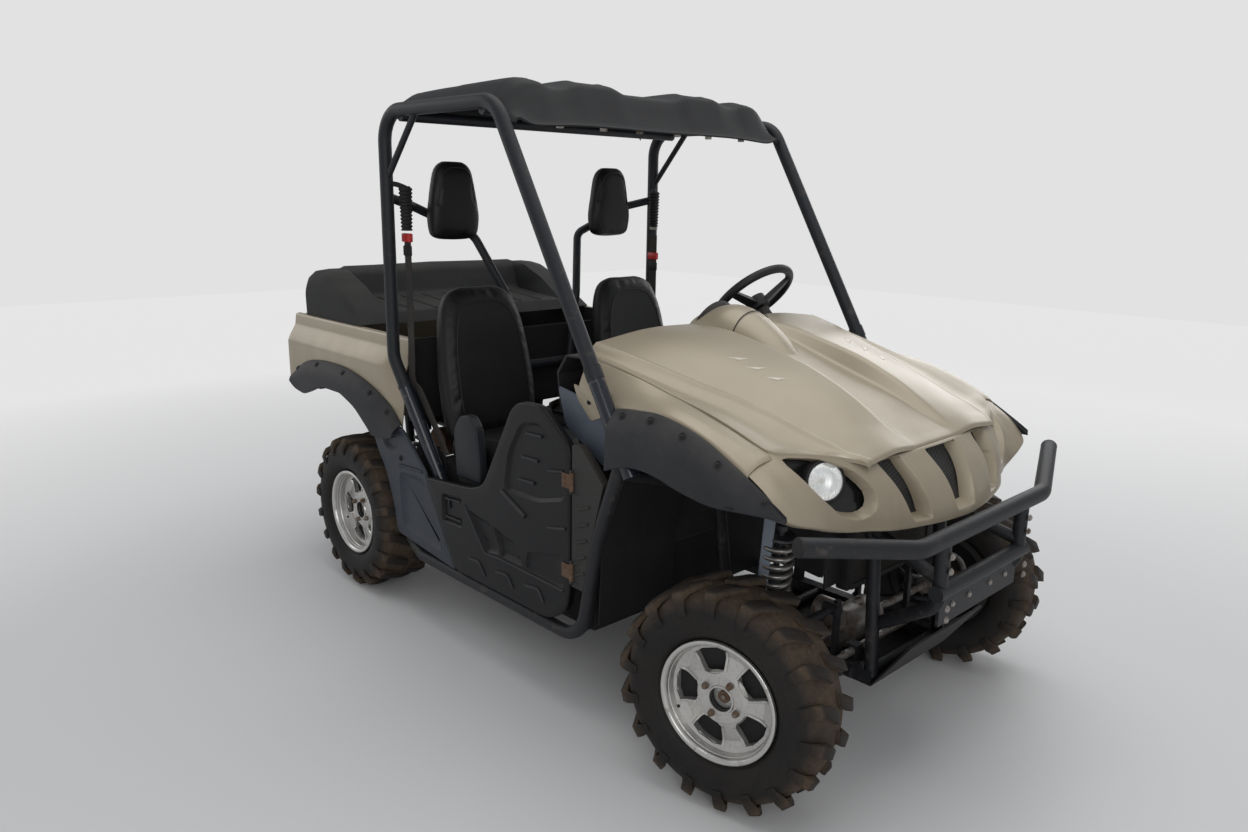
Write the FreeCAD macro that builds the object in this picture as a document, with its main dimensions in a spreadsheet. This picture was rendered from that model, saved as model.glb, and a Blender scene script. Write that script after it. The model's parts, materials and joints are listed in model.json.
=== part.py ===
import FreeCAD, Part

import math
import os
import re

import Sketcher
from FreeCAD import Placement, Rotation, Vector

# Side by side utility vehicle with a roll cage, two seats, half doors and a tipping cargo bed.
# X runs forward, Y to the vehicle's left, Z up, with the origin on the floor under the middle.
# The left half is drawn and the right half is its mirror image, apart from what turns or steers.

# Driving dimensions: alias, millimetres (degrees where the alias ends in angle), what it measures
DIMENSIONS = (
    ("nose_length", 564.5, "front axle back to the doors' front edge"),
    ("cab_length", 996, "doors' front edge back to the rear posts"),
    ("arch_length", 349.5, "rear posts back to the rear axle"),
    ("front_overhang", 400, "front axle to the bumper's front"),
    ("rear_overhang", 575, "rear axle to the back of the bed"),
    ("half_width", 692.5, "centre plane to the tyres' outer faces"),
    ("tyre_radius", 308, "floor to the wheel centres"),
    ("lug_height", 17, "tread lug above the carcass"),
    ("front_tyre_width", 203, "section width in front"),
    ("rear_tyre_width", 254, "section width behind"),
    ("rim_radius", 168, "over the rim flange"),
    ("front_rim_width", 166, "over both flanges in front"),
    ("rear_rim_width", 212, "over both flanges behind"),
    ("hub_bore", 33, "radius of the rim's open centre"),
    ("disc_thick", 12, "wheel disc at its spokes"),
    ("kingpin_inset", 64, "front wheel centre inward to its kingpin"),
    ("steer_angle", 11.5, "front wheels turned to the left at rest"),
    ("steering_arm", 108, "kingpin forward to the tie rod's pin"),
    ("column_angle", 45, "steering column above the horizontal"),
    ("wheel_grip", 168, "steering wheel's radius over the rim"),
    ("wheel_back", 153, "doors' front edge back to the steering wheel's centre"),
    ("wheel_in", 40, "driver's seat's middle in to the steering wheel's centre"),
    ("wheel_z", 1215, "steering wheel's centre, up"),
    ("cage_tube", 22.5, "radius of the cage's main tubes"),
    ("brace_tube", 14, "radius of the cage's braces and head rest bars"),
    ("cage_out", 10, "body sides out to the cage's side tubes"),
    ("cage_top", 1830, "centre of the cage's top tubes"),
    ("post_lean", 360, "doors' front edge back to the top bend of the front posts"),
    ("foot_ahead", 212, "doors' front edge ahead to the foot of the front posts"),
    ("front_post_foot_z", 880, "foot of the front posts, up"),
    ("frame_tube", 19, "radius of the frame's tubes"),
    ("rail_half", 185, "centre plane to the frame's main rails"),
    ("rail_height", 272, "centre of the main rails above the floor"),
    ("upper_rail", 610, "centre of the rear upper rails above the floor"),
    ("sill_in", 4, "body sides in to the sill tubes"),
    ("sill_tube", 21, "radius of the sill tubes"),
    ("sill_height", 258, "centre of the sill tubes above the floor"),
    ("panel_wall", 5, "moulded panels' wall"),
    ("body_half", 640, "centre plane to the body's sides"),
    ("flare_out", 50, "body sides out to the flares' lips"),
    ("door_in", 12, "body sides in to the doors' inner faces"),
    ("door_thick", 32, "door thickness"),
    ("door_gap", 6, "gap round a door"),
    ("hinge_radius", 7, "door hinge barrel"),
    ("bed_gap", 14, "rear posts ahead to the outside of the bed's front wall"),
    ("bed_in", 40, "body sides in to the bed rails' outer faces"),
    ("bed_floor", 742, "underside of the bed's floor"),
    ("bed_top", 1048, "top of the bed's rails"),
    ("bed_wall", 6, "bed's wall and floor"),
    ("tailgate_thick", 34, "tailgate thickness"),
    ("pivot_behind", 328.5, "rear axle back to the bed's hinge"),
    ("bed_pivot_z", 650, "bed hinge, up"),
    ("pivot_pin", 11, "radius of the bed's and tailgate's hinge pins"),
    ("seat_half", 205, "half of a seat's width"),
    ("seat_in", 270, "body sides in to a seat's middle"),
    ("seat_height", 615, "underside of the seat cushions"),
    ("bumper_tube", 24, "radius of the bumper's tubes"),
    ("engine_length", 420, "engine along the vehicle"),
    ("engine_width", 380, "engine across"),
    ("engine_height", 270, "engine up"),
    ("fit", 0.4, "gap between parts that seat without touching"),
)

# Places that follow from them: alias, formula
PLACES = (
    ("wheelbase", "nose_length + cab_length + arch_length"),
    ("front_axle", "(wheelbase + rear_overhang - front_overhang) / 2"),
    ("rear_axle", "front_axle - wheelbase"),
    ("door_front", "front_axle - nose_length"),
    ("post_back", "door_front - cab_length"),
    ("post_front", "door_front - post_lean"),
    ("front_post_foot_x", "door_front + foot_ahead"),
    ("cage_half", "body_half + cage_out"),
    ("sill_half", "body_half - sill_in"),
    ("flare_half", "body_half + flare_out"),
    ("door_inner", "body_half - door_in"),
    ("bed_front", "post_back + bed_gap"),
    ("bed_half", "body_half - bed_in"),
    ("bed_pivot_x", "rear_axle - pivot_behind"),
    ("seat_centre", "body_half - seat_in"),
    ("wheel_x", "door_front - wheel_back"),
    ("wheel_y", "seat_centre - wheel_in"),
)

doc = FreeCAD.newDocument("utility_vehicle")
sheet = doc.addObject("Spreadsheet::Sheet", "dims")
rows = [(alias, str(value), note) for alias, value, note in DIMENSIONS]
rows += [(alias, "=" + formula, "") for alias, formula in PLACES]
for row, (alias, content, note) in enumerate(rows, start=1):
    sheet.set(f"A{row}", alias)
    sheet.set(f"B{row}", content)
    sheet.set(f"C{row}", note)
    sheet.setAlias(f"B{row}", alias)
doc.recompute()


class Sizes:
    """The sheet's values by their names, for the shapes that are drawn in code."""

    def __getattr__(self, alias):
        return float(getattr(sheet, alias))


size = Sizes()
front_axle, rear_axle = size.front_axle, size.rear_axle
nodes = {}


def bind(expression):
    """Point the names in an expression at the sheet's cells."""
    return re.sub(r"[a-z_]{3,}", lambda found: found.group(0) if found.group(0) in ("sin", "cos")
                  else "dims." + found.group(0), str(expression))


def reckon(expression):
    """Value of an expression of the sheet's names."""
    holder = doc.addObject("App::FeaturePython", "reckoner")
    holder.addProperty("App::PropertyFloat", "Answer")
    holder.setExpression("Answer", bind(expression))
    holder.recompute()
    answer = holder.Answer
    doc.removeObject(holder.Name)
    return answer


def node(name, item):
    """Make an object one of the vehicle's pieces, under its file's name."""
    item.Label = name
    nodes[name] = item
    return item


def feature(name, shape, turn=None):
    """A piece whose shape is drawn in code."""
    item = doc.addObject("Part::Feature", name)
    item.Shape = shape
    if turn:
        item.Placement = turn
    return item


def mirrored(item):
    """The right-hand twin of a left-hand piece."""
    twin = doc.addObject("Part::Mirroring", item.Name + "_twin")
    twin.Source = item
    twin.Normal = (0, 1, 0)
    return twin


def pair(name, item):
    """One node that holds a left-hand piece and its twin."""
    both = doc.addObject("Part::Compound", name)
    both.Links = [item, mirrored(item)]
    return node(name, both)


def sketch_on(body, plane, name):
    """An empty sketch on one of a body's own planes."""
    sketch = body.newObject("Sketcher::SketchObject", name)
    face = next(part for part in body.Origin.OriginFeatures if part.Role == plane)
    sketch.AttachmentSupport = [(face, "")]
    sketch.MapMode = "FlatFace"
    return sketch


def outline(body, plane, corners, name="outline"):
    """A closed outline whose corners are bound to the sheet."""
    sketch = sketch_on(body, plane, name)
    spots = [Vector(reckon(across), reckon(up), 0) for across, up in corners]
    count = len(spots)
    edges = [Part.LineSegment(spots[i], spots[(i + 1) % count]) for i in range(count)]
    sketch.addGeometry(edges, False)
    for i in range(count):
        sketch.addConstraint(Sketcher.Constraint("Coincident", i, 2, (i + 1) % count, 1))
    for i, (corner, spot) in enumerate(zip(corners, spots)):
        for kind, expression, value in (("DistanceX", corner[0], spot.x),
                                        ("DistanceY", corner[1], spot.y)):
            number = sketch.addConstraint(Sketcher.Constraint(kind, -1, 1, i, 1, value))
            sketch.setExpression(f"Constraints[{number}]", bind(expression))
    return sketch


def prism(name, corners, depth, plane="XZ_Plane", symmetric=False, offset="0", rounding=0):
    """A body padded from an outline: side views grow to the left from their offset."""
    body = doc.addObject("PartDesign::Body", name)
    sketch = outline(body, plane, corners)
    if plane == "XZ_Plane":
        sketch.setExpression("AttachmentOffset.Base.z", bind(f"-({offset})"))
    else:
        sketch.setExpression("AttachmentOffset.Base.z", bind(offset))
    pad = body.newObject("PartDesign::Pad", "pad")
    pad.Profile = sketch
    pad.setExpression("Length", bind(depth))
    pad.Midplane = symmetric
    pad.Reversed = plane == "XZ_Plane" and not symmetric
    sketch.Visibility = False
    doc.recompute()
    if rounding:
        round_corners(body, rounding, Vector(0, 1, 0) if plane == "XZ_Plane" else Vector(0, 0, 1))
    return body


def round_corners(body, radius, along):
    """Fillet every edge of a body's tip that runs along one direction."""
    tip = body.Tip
    names = []
    for number, edge in enumerate(tip.Shape.Edges, start=1):
        straight = edge.Curve.TypeId == "Part::GeomLine"
        if straight and abs(abs(edge.tangentAt(edge.FirstParameter).dot(along)) - 1) < 1e-6:
            names.append(f"Edge{number}")
    fillet = body.newObject("PartDesign::Fillet", "rounding")
    fillet.Base = (tip, names)
    fillet.Radius = radius
    doc.recompute()
    return fillet


def ring_of(corners):
    """Pairs of neighbouring corners round an outline, worked out."""
    spots = [Vector(reckon(across), reckon(up), 0) for across, up in corners]
    return list(zip(spots, spots[1:] + spots[:1]))


def recess(body, corners, depth, offset, name="recess"):
    """Cut a shallow pocket inward from a left-hand piece's outer face."""
    before = body.Shape.Volume
    sketch = outline(body, "XZ_Plane", corners, name + "_outline")
    sketch.setExpression("AttachmentOffset.Base.z", bind(f"-({offset})"))
    pocket = body.newObject("PartDesign::Pocket", name)
    pocket.Profile = sketch
    pocket.setExpression("Length", bind(depth))
    pocket.Reversed = True
    doc.recompute()
    area = abs(sum(a.x * b.y - b.x * a.y for a, b in ring_of(corners))) / 2
    if before - body.Shape.Volume < 0.5 * area * reckon(depth):
        raise RuntimeError(f"{name} cuts too little")
    return pocket


def tube(points, radius, bend=90):
    """A round bar or tube of straight runs and tangent bends."""
    points = [Vector(*point) for point in points]
    pieces = []
    start = points[0]
    for before, corner, after in zip(points, points[1:], points[2:]):
        back = (before - corner).normalize()
        ahead = (after - corner).normalize()
        turn = math.pi - back.getAngle(ahead)
        if turn < 0.01:
            continue
        room = 0.47 * min((before - corner).Length, (after - corner).Length)
        reach = min(bend * math.tan(turn / 2), room)
        bend_radius = max(reach / math.tan(turn / 2), 1.02 * radius)
        reach = bend_radius * math.tan(turn / 2)
        first = corner + back * reach
        centre = corner + (back + ahead).normalize() * (bend_radius / math.cos(turn / 2))
        pieces.append(rod(start, first, radius))
        ring = Part.Face(Part.Wire([Part.Circle(first, back, radius).toShape()]))
        pieces.append(ring.revolve(centre, ahead.cross(back), math.degrees(turn)))
        start = corner + ahead * reach
    pieces.append(rod(start, points[-1], radius))
    return joined(*pieces) if len(pieces) > 1 else pieces[0]


def rod(start, end, radius):
    """A straight round bar between two points."""
    start = Vector(*start)
    way = Vector(*end) - start
    return Part.makeCylinder(radius, way.Length, start, way)


def box(low, high):
    """A plain block between two opposite corners."""
    low = Vector(*low)
    span = Vector(*high) - low
    return Part.makeBox(span.x, span.y, span.z, low)


def both_sides(*shapes):
    """Left-hand shapes and their mirror images."""
    return list(shapes) + [shape.mirror(Vector(), Vector(0, 1, 0)) for shape in shapes]


def joined(*shapes):
    """One solid of all the shapes."""
    first, *others = shapes
    return first.fuse(others).removeSplitter()


def skin(sections, wall, down=Vector(0, 0, -1)):
    """A panel of one wall thickness over a row of open section lines."""
    wires = []
    for line in sections:
        line = [Vector(*point) for point in line]
        under = [point + down * wall for point in reversed(line)]
        wires.append(Part.makePolygon(line + under + line[:1]))
    return Part.makeLoft(wires, True, True)


def patch(*corners):
    """Flat faces over four corners: one, or two triangles where they don't lie in a plane."""
    a, b, c, d = corners
    across = (b - a).cross(d - a)
    if abs((c - a).dot(across)) < 1e-6 * max(across.Length, 1):
        return [Part.Face(Part.makePolygon([a, b, c, d, a]))]
    return [Part.Face(Part.makePolygon([a, b, c, a])), Part.Face(Part.makePolygon([a, c, d, a]))]


def faceted(rings, closed=False):
    """A solid of flat faces over rows of closed rings with the same number of corners."""
    faces = []
    following = rings[1:] + rings[:1] if closed else rings[1:]
    for ring, after in zip(rings, following):
        for i in range(len(ring)):
            j = (i + 1) % len(ring)
            faces += patch(ring[i], ring[j], after[j], after[i])
    if not closed:
        faces += [Part.Face(Part.makePolygon(ring + ring[:1])) for ring in (rings[0], rings[-1])]
    solid = Part.makeSolid(Part.makeShell(faces))
    if solid.Volume < 0:
        solid.reverse()
    return solid


def full_width(half):
    """A section line across the vehicle, from its left half's points (x, y, z)."""
    return [(x, -y, z) for x, y, z in reversed(half) if y > 0] + list(half)


# Frame: main rails, cross tubes, sills, rear upper frame, front uprights and shock towers
rail, high = size.rail_half, size.rail_height
tube_r = size.frame_tube
frame_back = size.bed_pivot_x + 30
frame_front = front_axle + 190
sill_front = size.door_front + size.sill_tube + 8
shock_top_x, shock_top_y, shock_top_z = front_axle + 18, 412, 742
rear_shock_top = (rear_axle - 30, 300, size.upper_rail - 16)
SILL_ROUTE = [(rear_axle + size.tyre_radius + 41.5, size.sill_half - 30, high + 10),
              (size.post_back + 130, size.sill_half, size.sill_height),
              (sill_front, size.sill_half, size.sill_height), (sill_front + 70, size.sill_half, 600),
              (size.front_post_foot_x - 8, size.cage_half - 6, size.front_post_foot_z - 20)]
sill = tube(SILL_ROUTE, size.sill_tube, 110)
sill_room = tube(SILL_ROUTE, size.sill_tube + size.fit, 110)
main_rail = box((frame_back, rail - tube_r, high - tube_r), (frame_front, rail + tube_r, high + tube_r))
upper_back = tube([(size.post_back + 55, rail + 40, high), (size.post_back + 55, rail + 40, size.upper_rail),
                   (frame_back - 30, rail + 40, size.upper_rail)], tube_r, 60)
back_leg = rod((frame_back, rail + 20, high), (frame_back, rail + 40, size.upper_rail), tube_r)
front_leg = tube([(frame_front - 10, rail, high), (frame_front - 40, rail - 6, 700),
                  (front_axle - 60, rail + 30, 735), (size.front_post_foot_x, rail + 60, 700),
                  (size.front_post_foot_x + 10, rail, high)], tube_r, 60)
eye_radius, eye_half = 17, 15


def shock_mount(x, y, z, far_z):
    """Two plates that straddle a shock's eye, drawn from the eye to the bar that carries them."""
    low_z, high_z = min(z - 8, far_z), max(z + 8, far_z)
    return [box((x + s * (eye_half + size.fit + 3) - 3, y - 15, low_z),
                (x + s * (eye_half + size.fit + 3) + 3, y + 15, high_z)) for s in (-1, 1)]


tower = joined(rod((shock_top_x, rail, 732), (shock_top_x, shock_top_y + 26, shock_top_z + 38), tube_r - 4),
               rod((shock_top_x - 22, shock_top_y, shock_top_z + 34), (shock_top_x + 22, shock_top_y, shock_top_z + 34), 12),
               *shock_mount(shock_top_x, shock_top_y, shock_top_z, shock_top_z + 32))
post_arm_ends = ((size.front_post_foot_x, rail + 60, 700),
                 (size.front_post_foot_x - 8, size.cage_half - 12, size.front_post_foot_z - 60))
post_arm = rod(*post_arm_ends, tube_r - 3)
rear_tower = joined(rod((rear_shock_top[0], rail + 30, size.upper_rail + 6),
                        (rear_shock_top[0], rear_shock_top[1] + 22, rear_shock_top[2] + 36), tube_r - 4),
                    rod((rear_shock_top[0] - 22, rear_shock_top[1], rear_shock_top[2] + 34),
                        (rear_shock_top[0] + 22, rear_shock_top[1], rear_shock_top[2] + 34), 12),
                    *shock_mount(*rear_shock_top, rear_shock_top[2] + 32))
hinge_lug = box((size.bed_pivot_x - 24, rail + 24, size.upper_rail - 10),
                (size.bed_pivot_x + 24, rail + 56, size.bed_pivot_z + 22))
cross_places = (frame_back + 22, rear_axle + 150, size.post_back + 60, size.door_front - 418, sill_front - 60,
                front_axle - 250, frame_front - 25)
crosses = [rod((x, -rail - 2, high), (x, rail + 2, high), tube_r - 2) for x in cross_places]
outriggers = [rod((x, rail, high), (x, size.sill_half, size.sill_height), tube_r - 4)
              for x in (size.post_back + 205, sill_front - 60)]
muffler_x = frame_back + 118
bed_rest = box((size.bed_front - 86, rail + 22, size.upper_rail), (size.bed_front - 62, rail + 58, size.bed_floor - 22 - size.fit))
# columns: axle, upper arm's pivots behind and ahead of it, their height above the rails
UPPER_PIVOTS = ((front_axle, -112, 62, 170), (rear_axle, -112, 70, 180))
# Steering rack's place, in front of the axle, and the clamps that carry it
axle_z = size.tyre_radius
turned = math.radians(size.steer_angle)
rack_x, rack_z, rack_r = front_axle + size.steering_arm * math.cos(turned) - 2, axle_z + 4, 12
rack_shift = size.steering_arm * math.sin(turned)
rack_clamp = box((rack_x - 17, 140, high + tube_r - 12), (rack_x + 17, 172, rack_z + 19)).cut(
    rod((rack_x, 100, rack_z), (rack_x, 200, rack_z), rack_r + size.fit))
arm_posts = [box((axle + ahead - 7, rail, high), (axle + ahead + 7, rail + tube_r, high + up + 18))
             for axle, behind, before, up in UPPER_PIVOTS for ahead in (behind, before)]
uppers = [rod((x, -rail - 40, z), (x, rail + 40, z), tube_r - 2)
          for x, z in ((frame_back - 20, size.upper_rail), (muffler_x, size.upper_rail), (size.post_back + 55, size.upper_rail))]
front_uppers = [rod((frame_front - 40, -rail, 700), (frame_front - 40, rail, 700), tube_r - 2)]
main_frame = joined(*both_sides(main_rail, sill, upper_back, back_leg, front_leg, tower, post_arm, rear_tower,
                                hinge_lug, bed_rest, rack_clamp, *arm_posts, *outriggers), *crosses, *uppers, *front_uppers)
pin_hole = rod((size.bed_pivot_x, -rail - 80, size.bed_pivot_z), (size.bed_pivot_x, rail + 80, size.bed_pivot_z),
               size.pivot_pin + size.fit)
main_frame = main_frame.cut(pin_hole)
node("main_frame", feature("main_frame", main_frame))

# Cab floor with its toe board, one folded plate, and the skid plate under the nose
floor_x0, floor_x1 = "post_back + 640 + fit", "door_front + 60"
node("floor_pan", prism("floor_pan", (
    (floor_x0, "rail_height + frame_tube + fit"), (f"{floor_x1}", "rail_height + frame_tube + fit"),
    (f"{floor_x1} + 22", "rail_height + 230"), (f"{floor_x1} + 15", "rail_height + 231"),
    (f"{floor_x1} - 4", "rail_height + frame_tube + fit + 6"), (floor_x0, "rail_height + frame_tube + fit + 6")),
    "2 * (sill_half - sill_tube - 4)", symmetric=True))
node("skid_plate", prism("skid_plate", (
    ("front_axle - 360", "rail_height - frame_tube - fit - 4"),
    ("front_axle + 192", "rail_height - frame_tube - fit - 4"),
    ("front_axle + 300", "rail_height + 130"), ("front_axle + 294", "rail_height + 132"),
    ("front_axle + 190", "rail_height - frame_tube - fit"),
    ("front_axle - 360", "rail_height - frame_tube - fit")),
    "2 * (rail_half + frame_tube)", symmetric=True))

# Roll cage: each side is one bent tube from the front post over the top and down the rear post
half, top, r = size.cage_half, size.cage_top, size.cage_tube
rear_foot = (size.post_back + 205, size.door_inner - r - 10, 560)
side_tube = tube([(size.front_post_foot_x, half - 2, size.front_post_foot_z),
                  (size.post_front + 8, half, top), (size.post_back, half, top), (size.post_back, half, 985),
                  rear_foot, (rear_foot[0], rear_foot[1], high + 4)], r, 105)
front_post_room = tube([(size.front_post_foot_x, half - 2, size.front_post_foot_z), (size.post_front + 8, half, top),
                        (size.post_back, half, top)], r + size.fit, 105)
rest_y, rest_x, rest_z = size.seat_centre + 16, size.post_back - 7, top - 293
rest_deep = 72
bar_radius = size.brace_tube + 2
bar_x = rest_x + 8 - rest_deep / 2 - bar_radius - size.fit
rest_bar = tube([(size.post_back, half - 8, rest_z + 8), (bar_x, rest_y + 136, rest_z - 22),
                 (bar_x, rest_y - 126, rest_z - 130), (size.post_back + 46, 172, 1173),
                 (size.post_back + 62, 120, 905)], bar_radius, 60)
brace = rod((size.post_back, half, 1600), (size.post_back + 205, half - 6, top), size.brace_tube - 3)
cross_low = top - 20
front_cross = rod((size.post_front - 60, -half, cross_low), (size.post_front - 60, half, cross_low), size.brace_tube + 4)
rear_cross = rod((size.post_back + 108, -half, cross_low), (size.post_back + 108, half, cross_low), size.brace_tube + 4)
bar_cross = rod((size.post_back + 62, -136, 905), (size.post_back + 62, 136, 905), size.brace_tube + 3)
bar_legs = rod((size.post_back + 62, 120, 905), (size.post_back + 55, 150, size.upper_rail + 6), size.brace_tube)
cage = joined(*both_sides(side_tube, rest_bar, brace, bar_legs), front_cross, rear_cross, bar_cross)
node("roll_cage", feature("roll_cage", cage.cut(main_frame)))

# Roof: moulded skin inside the side tubes, with a drooping front lip and four raised ribs
roof_edge = half - r - size.fit
# columns: share of the way from the rear posts to the front ones, then edge, middle and rib above the top tubes
ROOF_SECTIONS = ((-0.145, -12, 2, 2), (-0.095, 6, 44, 44), (0.095, 6, 56, 84), (0.52, 6, 60, 92), (0.88, 6, 62, 96),
                 (1.006, 0, 40, 66), (1.113, -54, -50, -50))
roof_long = size.post_front - size.post_back
roof_lines = []
for share, edge_up, middle_up, rib_up in ROOF_SECTIONS:
    roof_lines.append(full_width([(size.post_back + share * roof_long, y, top + up) for y, up in (
        (0, middle_up), (120, middle_up), (175, rib_up), (330, rib_up), (400, middle_up - 4),
        (455, rib_up - 10), (560, rib_up - 16), (roof_edge, edge_up))]))
roof = skin(roof_lines, size.panel_wall)
node("roof_panel", feature("roof_panel", roof))

# Hood: crowned panels, a trough down the middle and a ridge that runs in towards the nose
# The tables of the hood, fenders and nose are drawn for this half width, and their widths stretch with the body
drawn_half = 640
broad = size.body_half / drawn_half
# columns: share of the nose's length behind the front axle, trough depth, trough half width, crown height,
# ridge y and z, edge y and z
HOOD_SECTIONS = (
    (1.0487, 0, 95, 1162, 540, 1136, 580, 1124),
    (0.6678, 30, 95, 1164, 493, 1088, 562, 1078),
    (0.2427, 48, 90, 1104, 425, 1026, 548, 1020),
    (-0.0921, 26, 92, 1012, 378, 972, 540, 958),
    (-0.3472, 3, 96, 940, 338, 934, 352, 930),
)
hood_lines = []
for share, depth, trough, crown, ridge_y, ridge_z, edge_y, edge_z in HOOD_SECTIONS:
    hood_lines.append(full_width([(front_axle - share * size.nose_length, y, z) for y, z in (
        (0, crown - depth), (trough, crown - depth), (trough + 42, crown), (ridge_y * broad, ridge_z),
        (edge_y * broad, edge_z))]))
hood = skin(hood_lines, size.panel_wall).cut(front_post_room)

# Instrument dome over the middle of the dash, at the hood's back edge
# columns: forward of the doors' front edge, half width, height
DOME_SECTIONS = ((-75, 104, 1196), (-25, 116, 1220), (45, 118, 1226), (135, 104, 1200), (265, 34, 1124))
dome_middle = size.door_front + 45
dome_base = 1060
dome_wires = []
for ahead, wide, tall in DOME_SECTIONS:
    rise = tall - dome_base
    steps = [math.radians(angle) for angle in (0, 36, 64, 90, 116, 144, 180)]
    arch = [Vector(size.door_front + ahead, wide * math.cos(a), dome_base + rise * math.sin(a) ** 0.7) for a in steps]
    dome_wires.append(Part.makePolygon(arch + arch[:1]))
dome_solid = Part.makeLoft(dome_wires, True, True)
dome_hollow = dome_solid.copy()
dome_hollow.scale(0.93, Vector(dome_middle, 0, dome_base - 6))
hood_lift = hood.copy()
hood_lift.translate(Vector(0, 0, size.fit))
dome = dome_solid.cut(dome_hollow).cut([
    box((dome_middle - 180, -200, 1000), (dome_middle + 270, 200, 1092)),
    box((dome_middle - 180, -200, 1000), (size.door_front - 19.5, 200, 1110 + size.fit))])
dome = max(dome.cut(hood_lift).Solids, key=lambda solid: solid.BoundBox.ZMax)
dome_cutter = dome_solid.copy()
dome_cutter.scale(1.004, Vector(dome_middle, 0, dome_base))
hood = max(hood.cut(dome_cutter).Solids, key=lambda solid: solid.Volume)
node("hood_panel", feature("hood_panel", hood))
hood_room = skin([[(x + size.fit, y * (1 + size.fit / 350), z + 25) for x, y, z in line] for line in hood_lines], 32)
node("instrument_dome", feature("instrument_dome", dome))

# Nose: a curved cover from lamp to lamp with three tapered slots and two lamp openings
# columns: y, then x ahead of the front axle and z of the top edge, the middle and the lip
NOSE_SECTIONS = (
    (0, 222, 926, 284, 846, 330, 746), (160, 222, 925, 277, 844, 312, 749), (280, 214, 925, 254, 846, 281, 752),
    (352, 200, 927, 230, 852, 246, 757), (430, 156, 950, 196, 872, 222, 766), (490, 108, 957, 160, 884, 220, 782),
    (545, 56, 957, 130, 890, 220, 800), (600, 62, 938, 134, 884, 214, 818),
    (drawn_half - 1, 82, 915, 148, 872, 206, 832),
)
nose_lines = []
for y, top_x, top_z, mid_x, mid_z, lip_x, lip_z in NOSE_SECTIONS:
    nose_lines.append([(front_axle + x, y * broad, z) for x, z in ((top_x, top_z), (mid_x, mid_z), (lip_x, lip_z))])
nose_lines = [[(x, -y, z) for x, y, z in line] for line in reversed(nose_lines[1:])] + nose_lines
nose = skin(nose_lines, size.panel_wall, Vector(-0.94, 0, -0.34))


def prism_along(corners, reach, way):
    """A solid that carries an outline of 3-D corners along one direction."""
    corners = [Vector(*corner) for corner in corners]
    face = Part.Face(Part.makePolygon(corners + corners[:1]))
    return face.extrude(Vector(*way) * reach)


# columns: middle at the top and at the bottom, half width at the top and at the bottom
NOSE_SLOTS = ((0, -6, 82, 46), (240, 194, 50, 34), (-240, -194, 50, 34))
slot_top, slot_low = 918, 768
slots = []
for top_y, low_y, top_half, low_half in NOSE_SLOTS:
    start = front_axle + 150
    slots.append(prism_along([(start, top_y - top_half, slot_top), (start, top_y + top_half, slot_top),
                              (start, low_y + low_half, slot_low), (start, low_y - low_half, slot_low)],
                             250, (1, 0, 0)))
# columns: y and z round the lamp opening, from its outer tip over the top
LAMP_OPENING = [(y * broad, z) for y, z in ((532, 944), (450, 942), (372, 908), (332, 858), (338, 806), (378, 792),
                                            (438, 808), (492, 866))]
lamp_start = front_axle - 20
lamp_hole = prism_along([(lamp_start, y, z) for y, z in LAMP_OPENING], 400, (1, 0, 0))
well_wall = 4


def widened(corners, by):
    """The same outline with each corner moved away from the middle, in y and z."""
    middle_y = sum(y for x, y, z in corners) / len(corners)
    middle_z = sum(z for x, y, z in corners) / len(corners)
    moved = []
    for x, y, z in corners:
        away = math.hypot(y - middle_y, z - middle_z)
        moved.append((x, y + by * (y - middle_y) / away, z + by * (z - middle_z) / away))
    return moved


def well(corners, reach, depth):
    """Walls that run back from an opening of the nose."""
    block = prism_along(widened(corners, well_wall * 1.4), reach, (1, 0, 0)).cut(prism_along(corners, reach, (1, 0, 0)))
    return block.common(skin(nose_lines, depth, Vector(-0.94, 0, -0.34)))


slot_wells = []
for top_y, low_y, top_half, low_half in NOSE_SLOTS:
    start = front_axle + 150
    slot_wells.append(well([(start, top_y - top_half, slot_top), (start, top_y + top_half, slot_top),
                            (start, low_y + low_half, slot_low), (start, low_y - low_half, slot_low)], 250, 38))
lamp_well = well([(lamp_start, y, z) for y, z in LAMP_OPENING], 400, 26)
nose = joined(nose.cut([*slots, *both_sides(lamp_hole)]), *slot_wells, *both_sides(lamp_well))
nose = max(nose.cut(hood_room).Solids, key=lambda part: part.Volume)
node("nose_panel", feature("nose_panel", nose))

# Mesh behind the slots: a plate that follows the nose, with rows of narrow openings
mesh_depth = 38 + size.fit
mesh_rows, mesh_gap = 7, 11
mesh_lines = [[(x - 0.94 * mesh_depth, y, z - 0.34 * mesh_depth) for x, y, z in line]
              for line in nose_lines if abs(line[0][1]) < 345]
mesh = skin(mesh_lines, 3, Vector(-0.94, 0, -0.34))
mesh_slits = []
for top_y, low_y, top_half, low_half in NOSE_SLOTS:
    for row in range(mesh_rows):
        share = (row + 0.5) / mesh_rows
        z = slot_low + share * (slot_top - slot_low) - 8
        middle = low_y + share * (top_y - low_y)
        reach = low_half + share * (top_half - low_half) - 8
        mesh_slits.append(box((front_axle, middle - reach, z), (front_axle + 400, middle + reach, z + mesh_gap)))
node("grille_mesh", feature("grille_mesh", mesh.cut(mesh_slits)))

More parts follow.
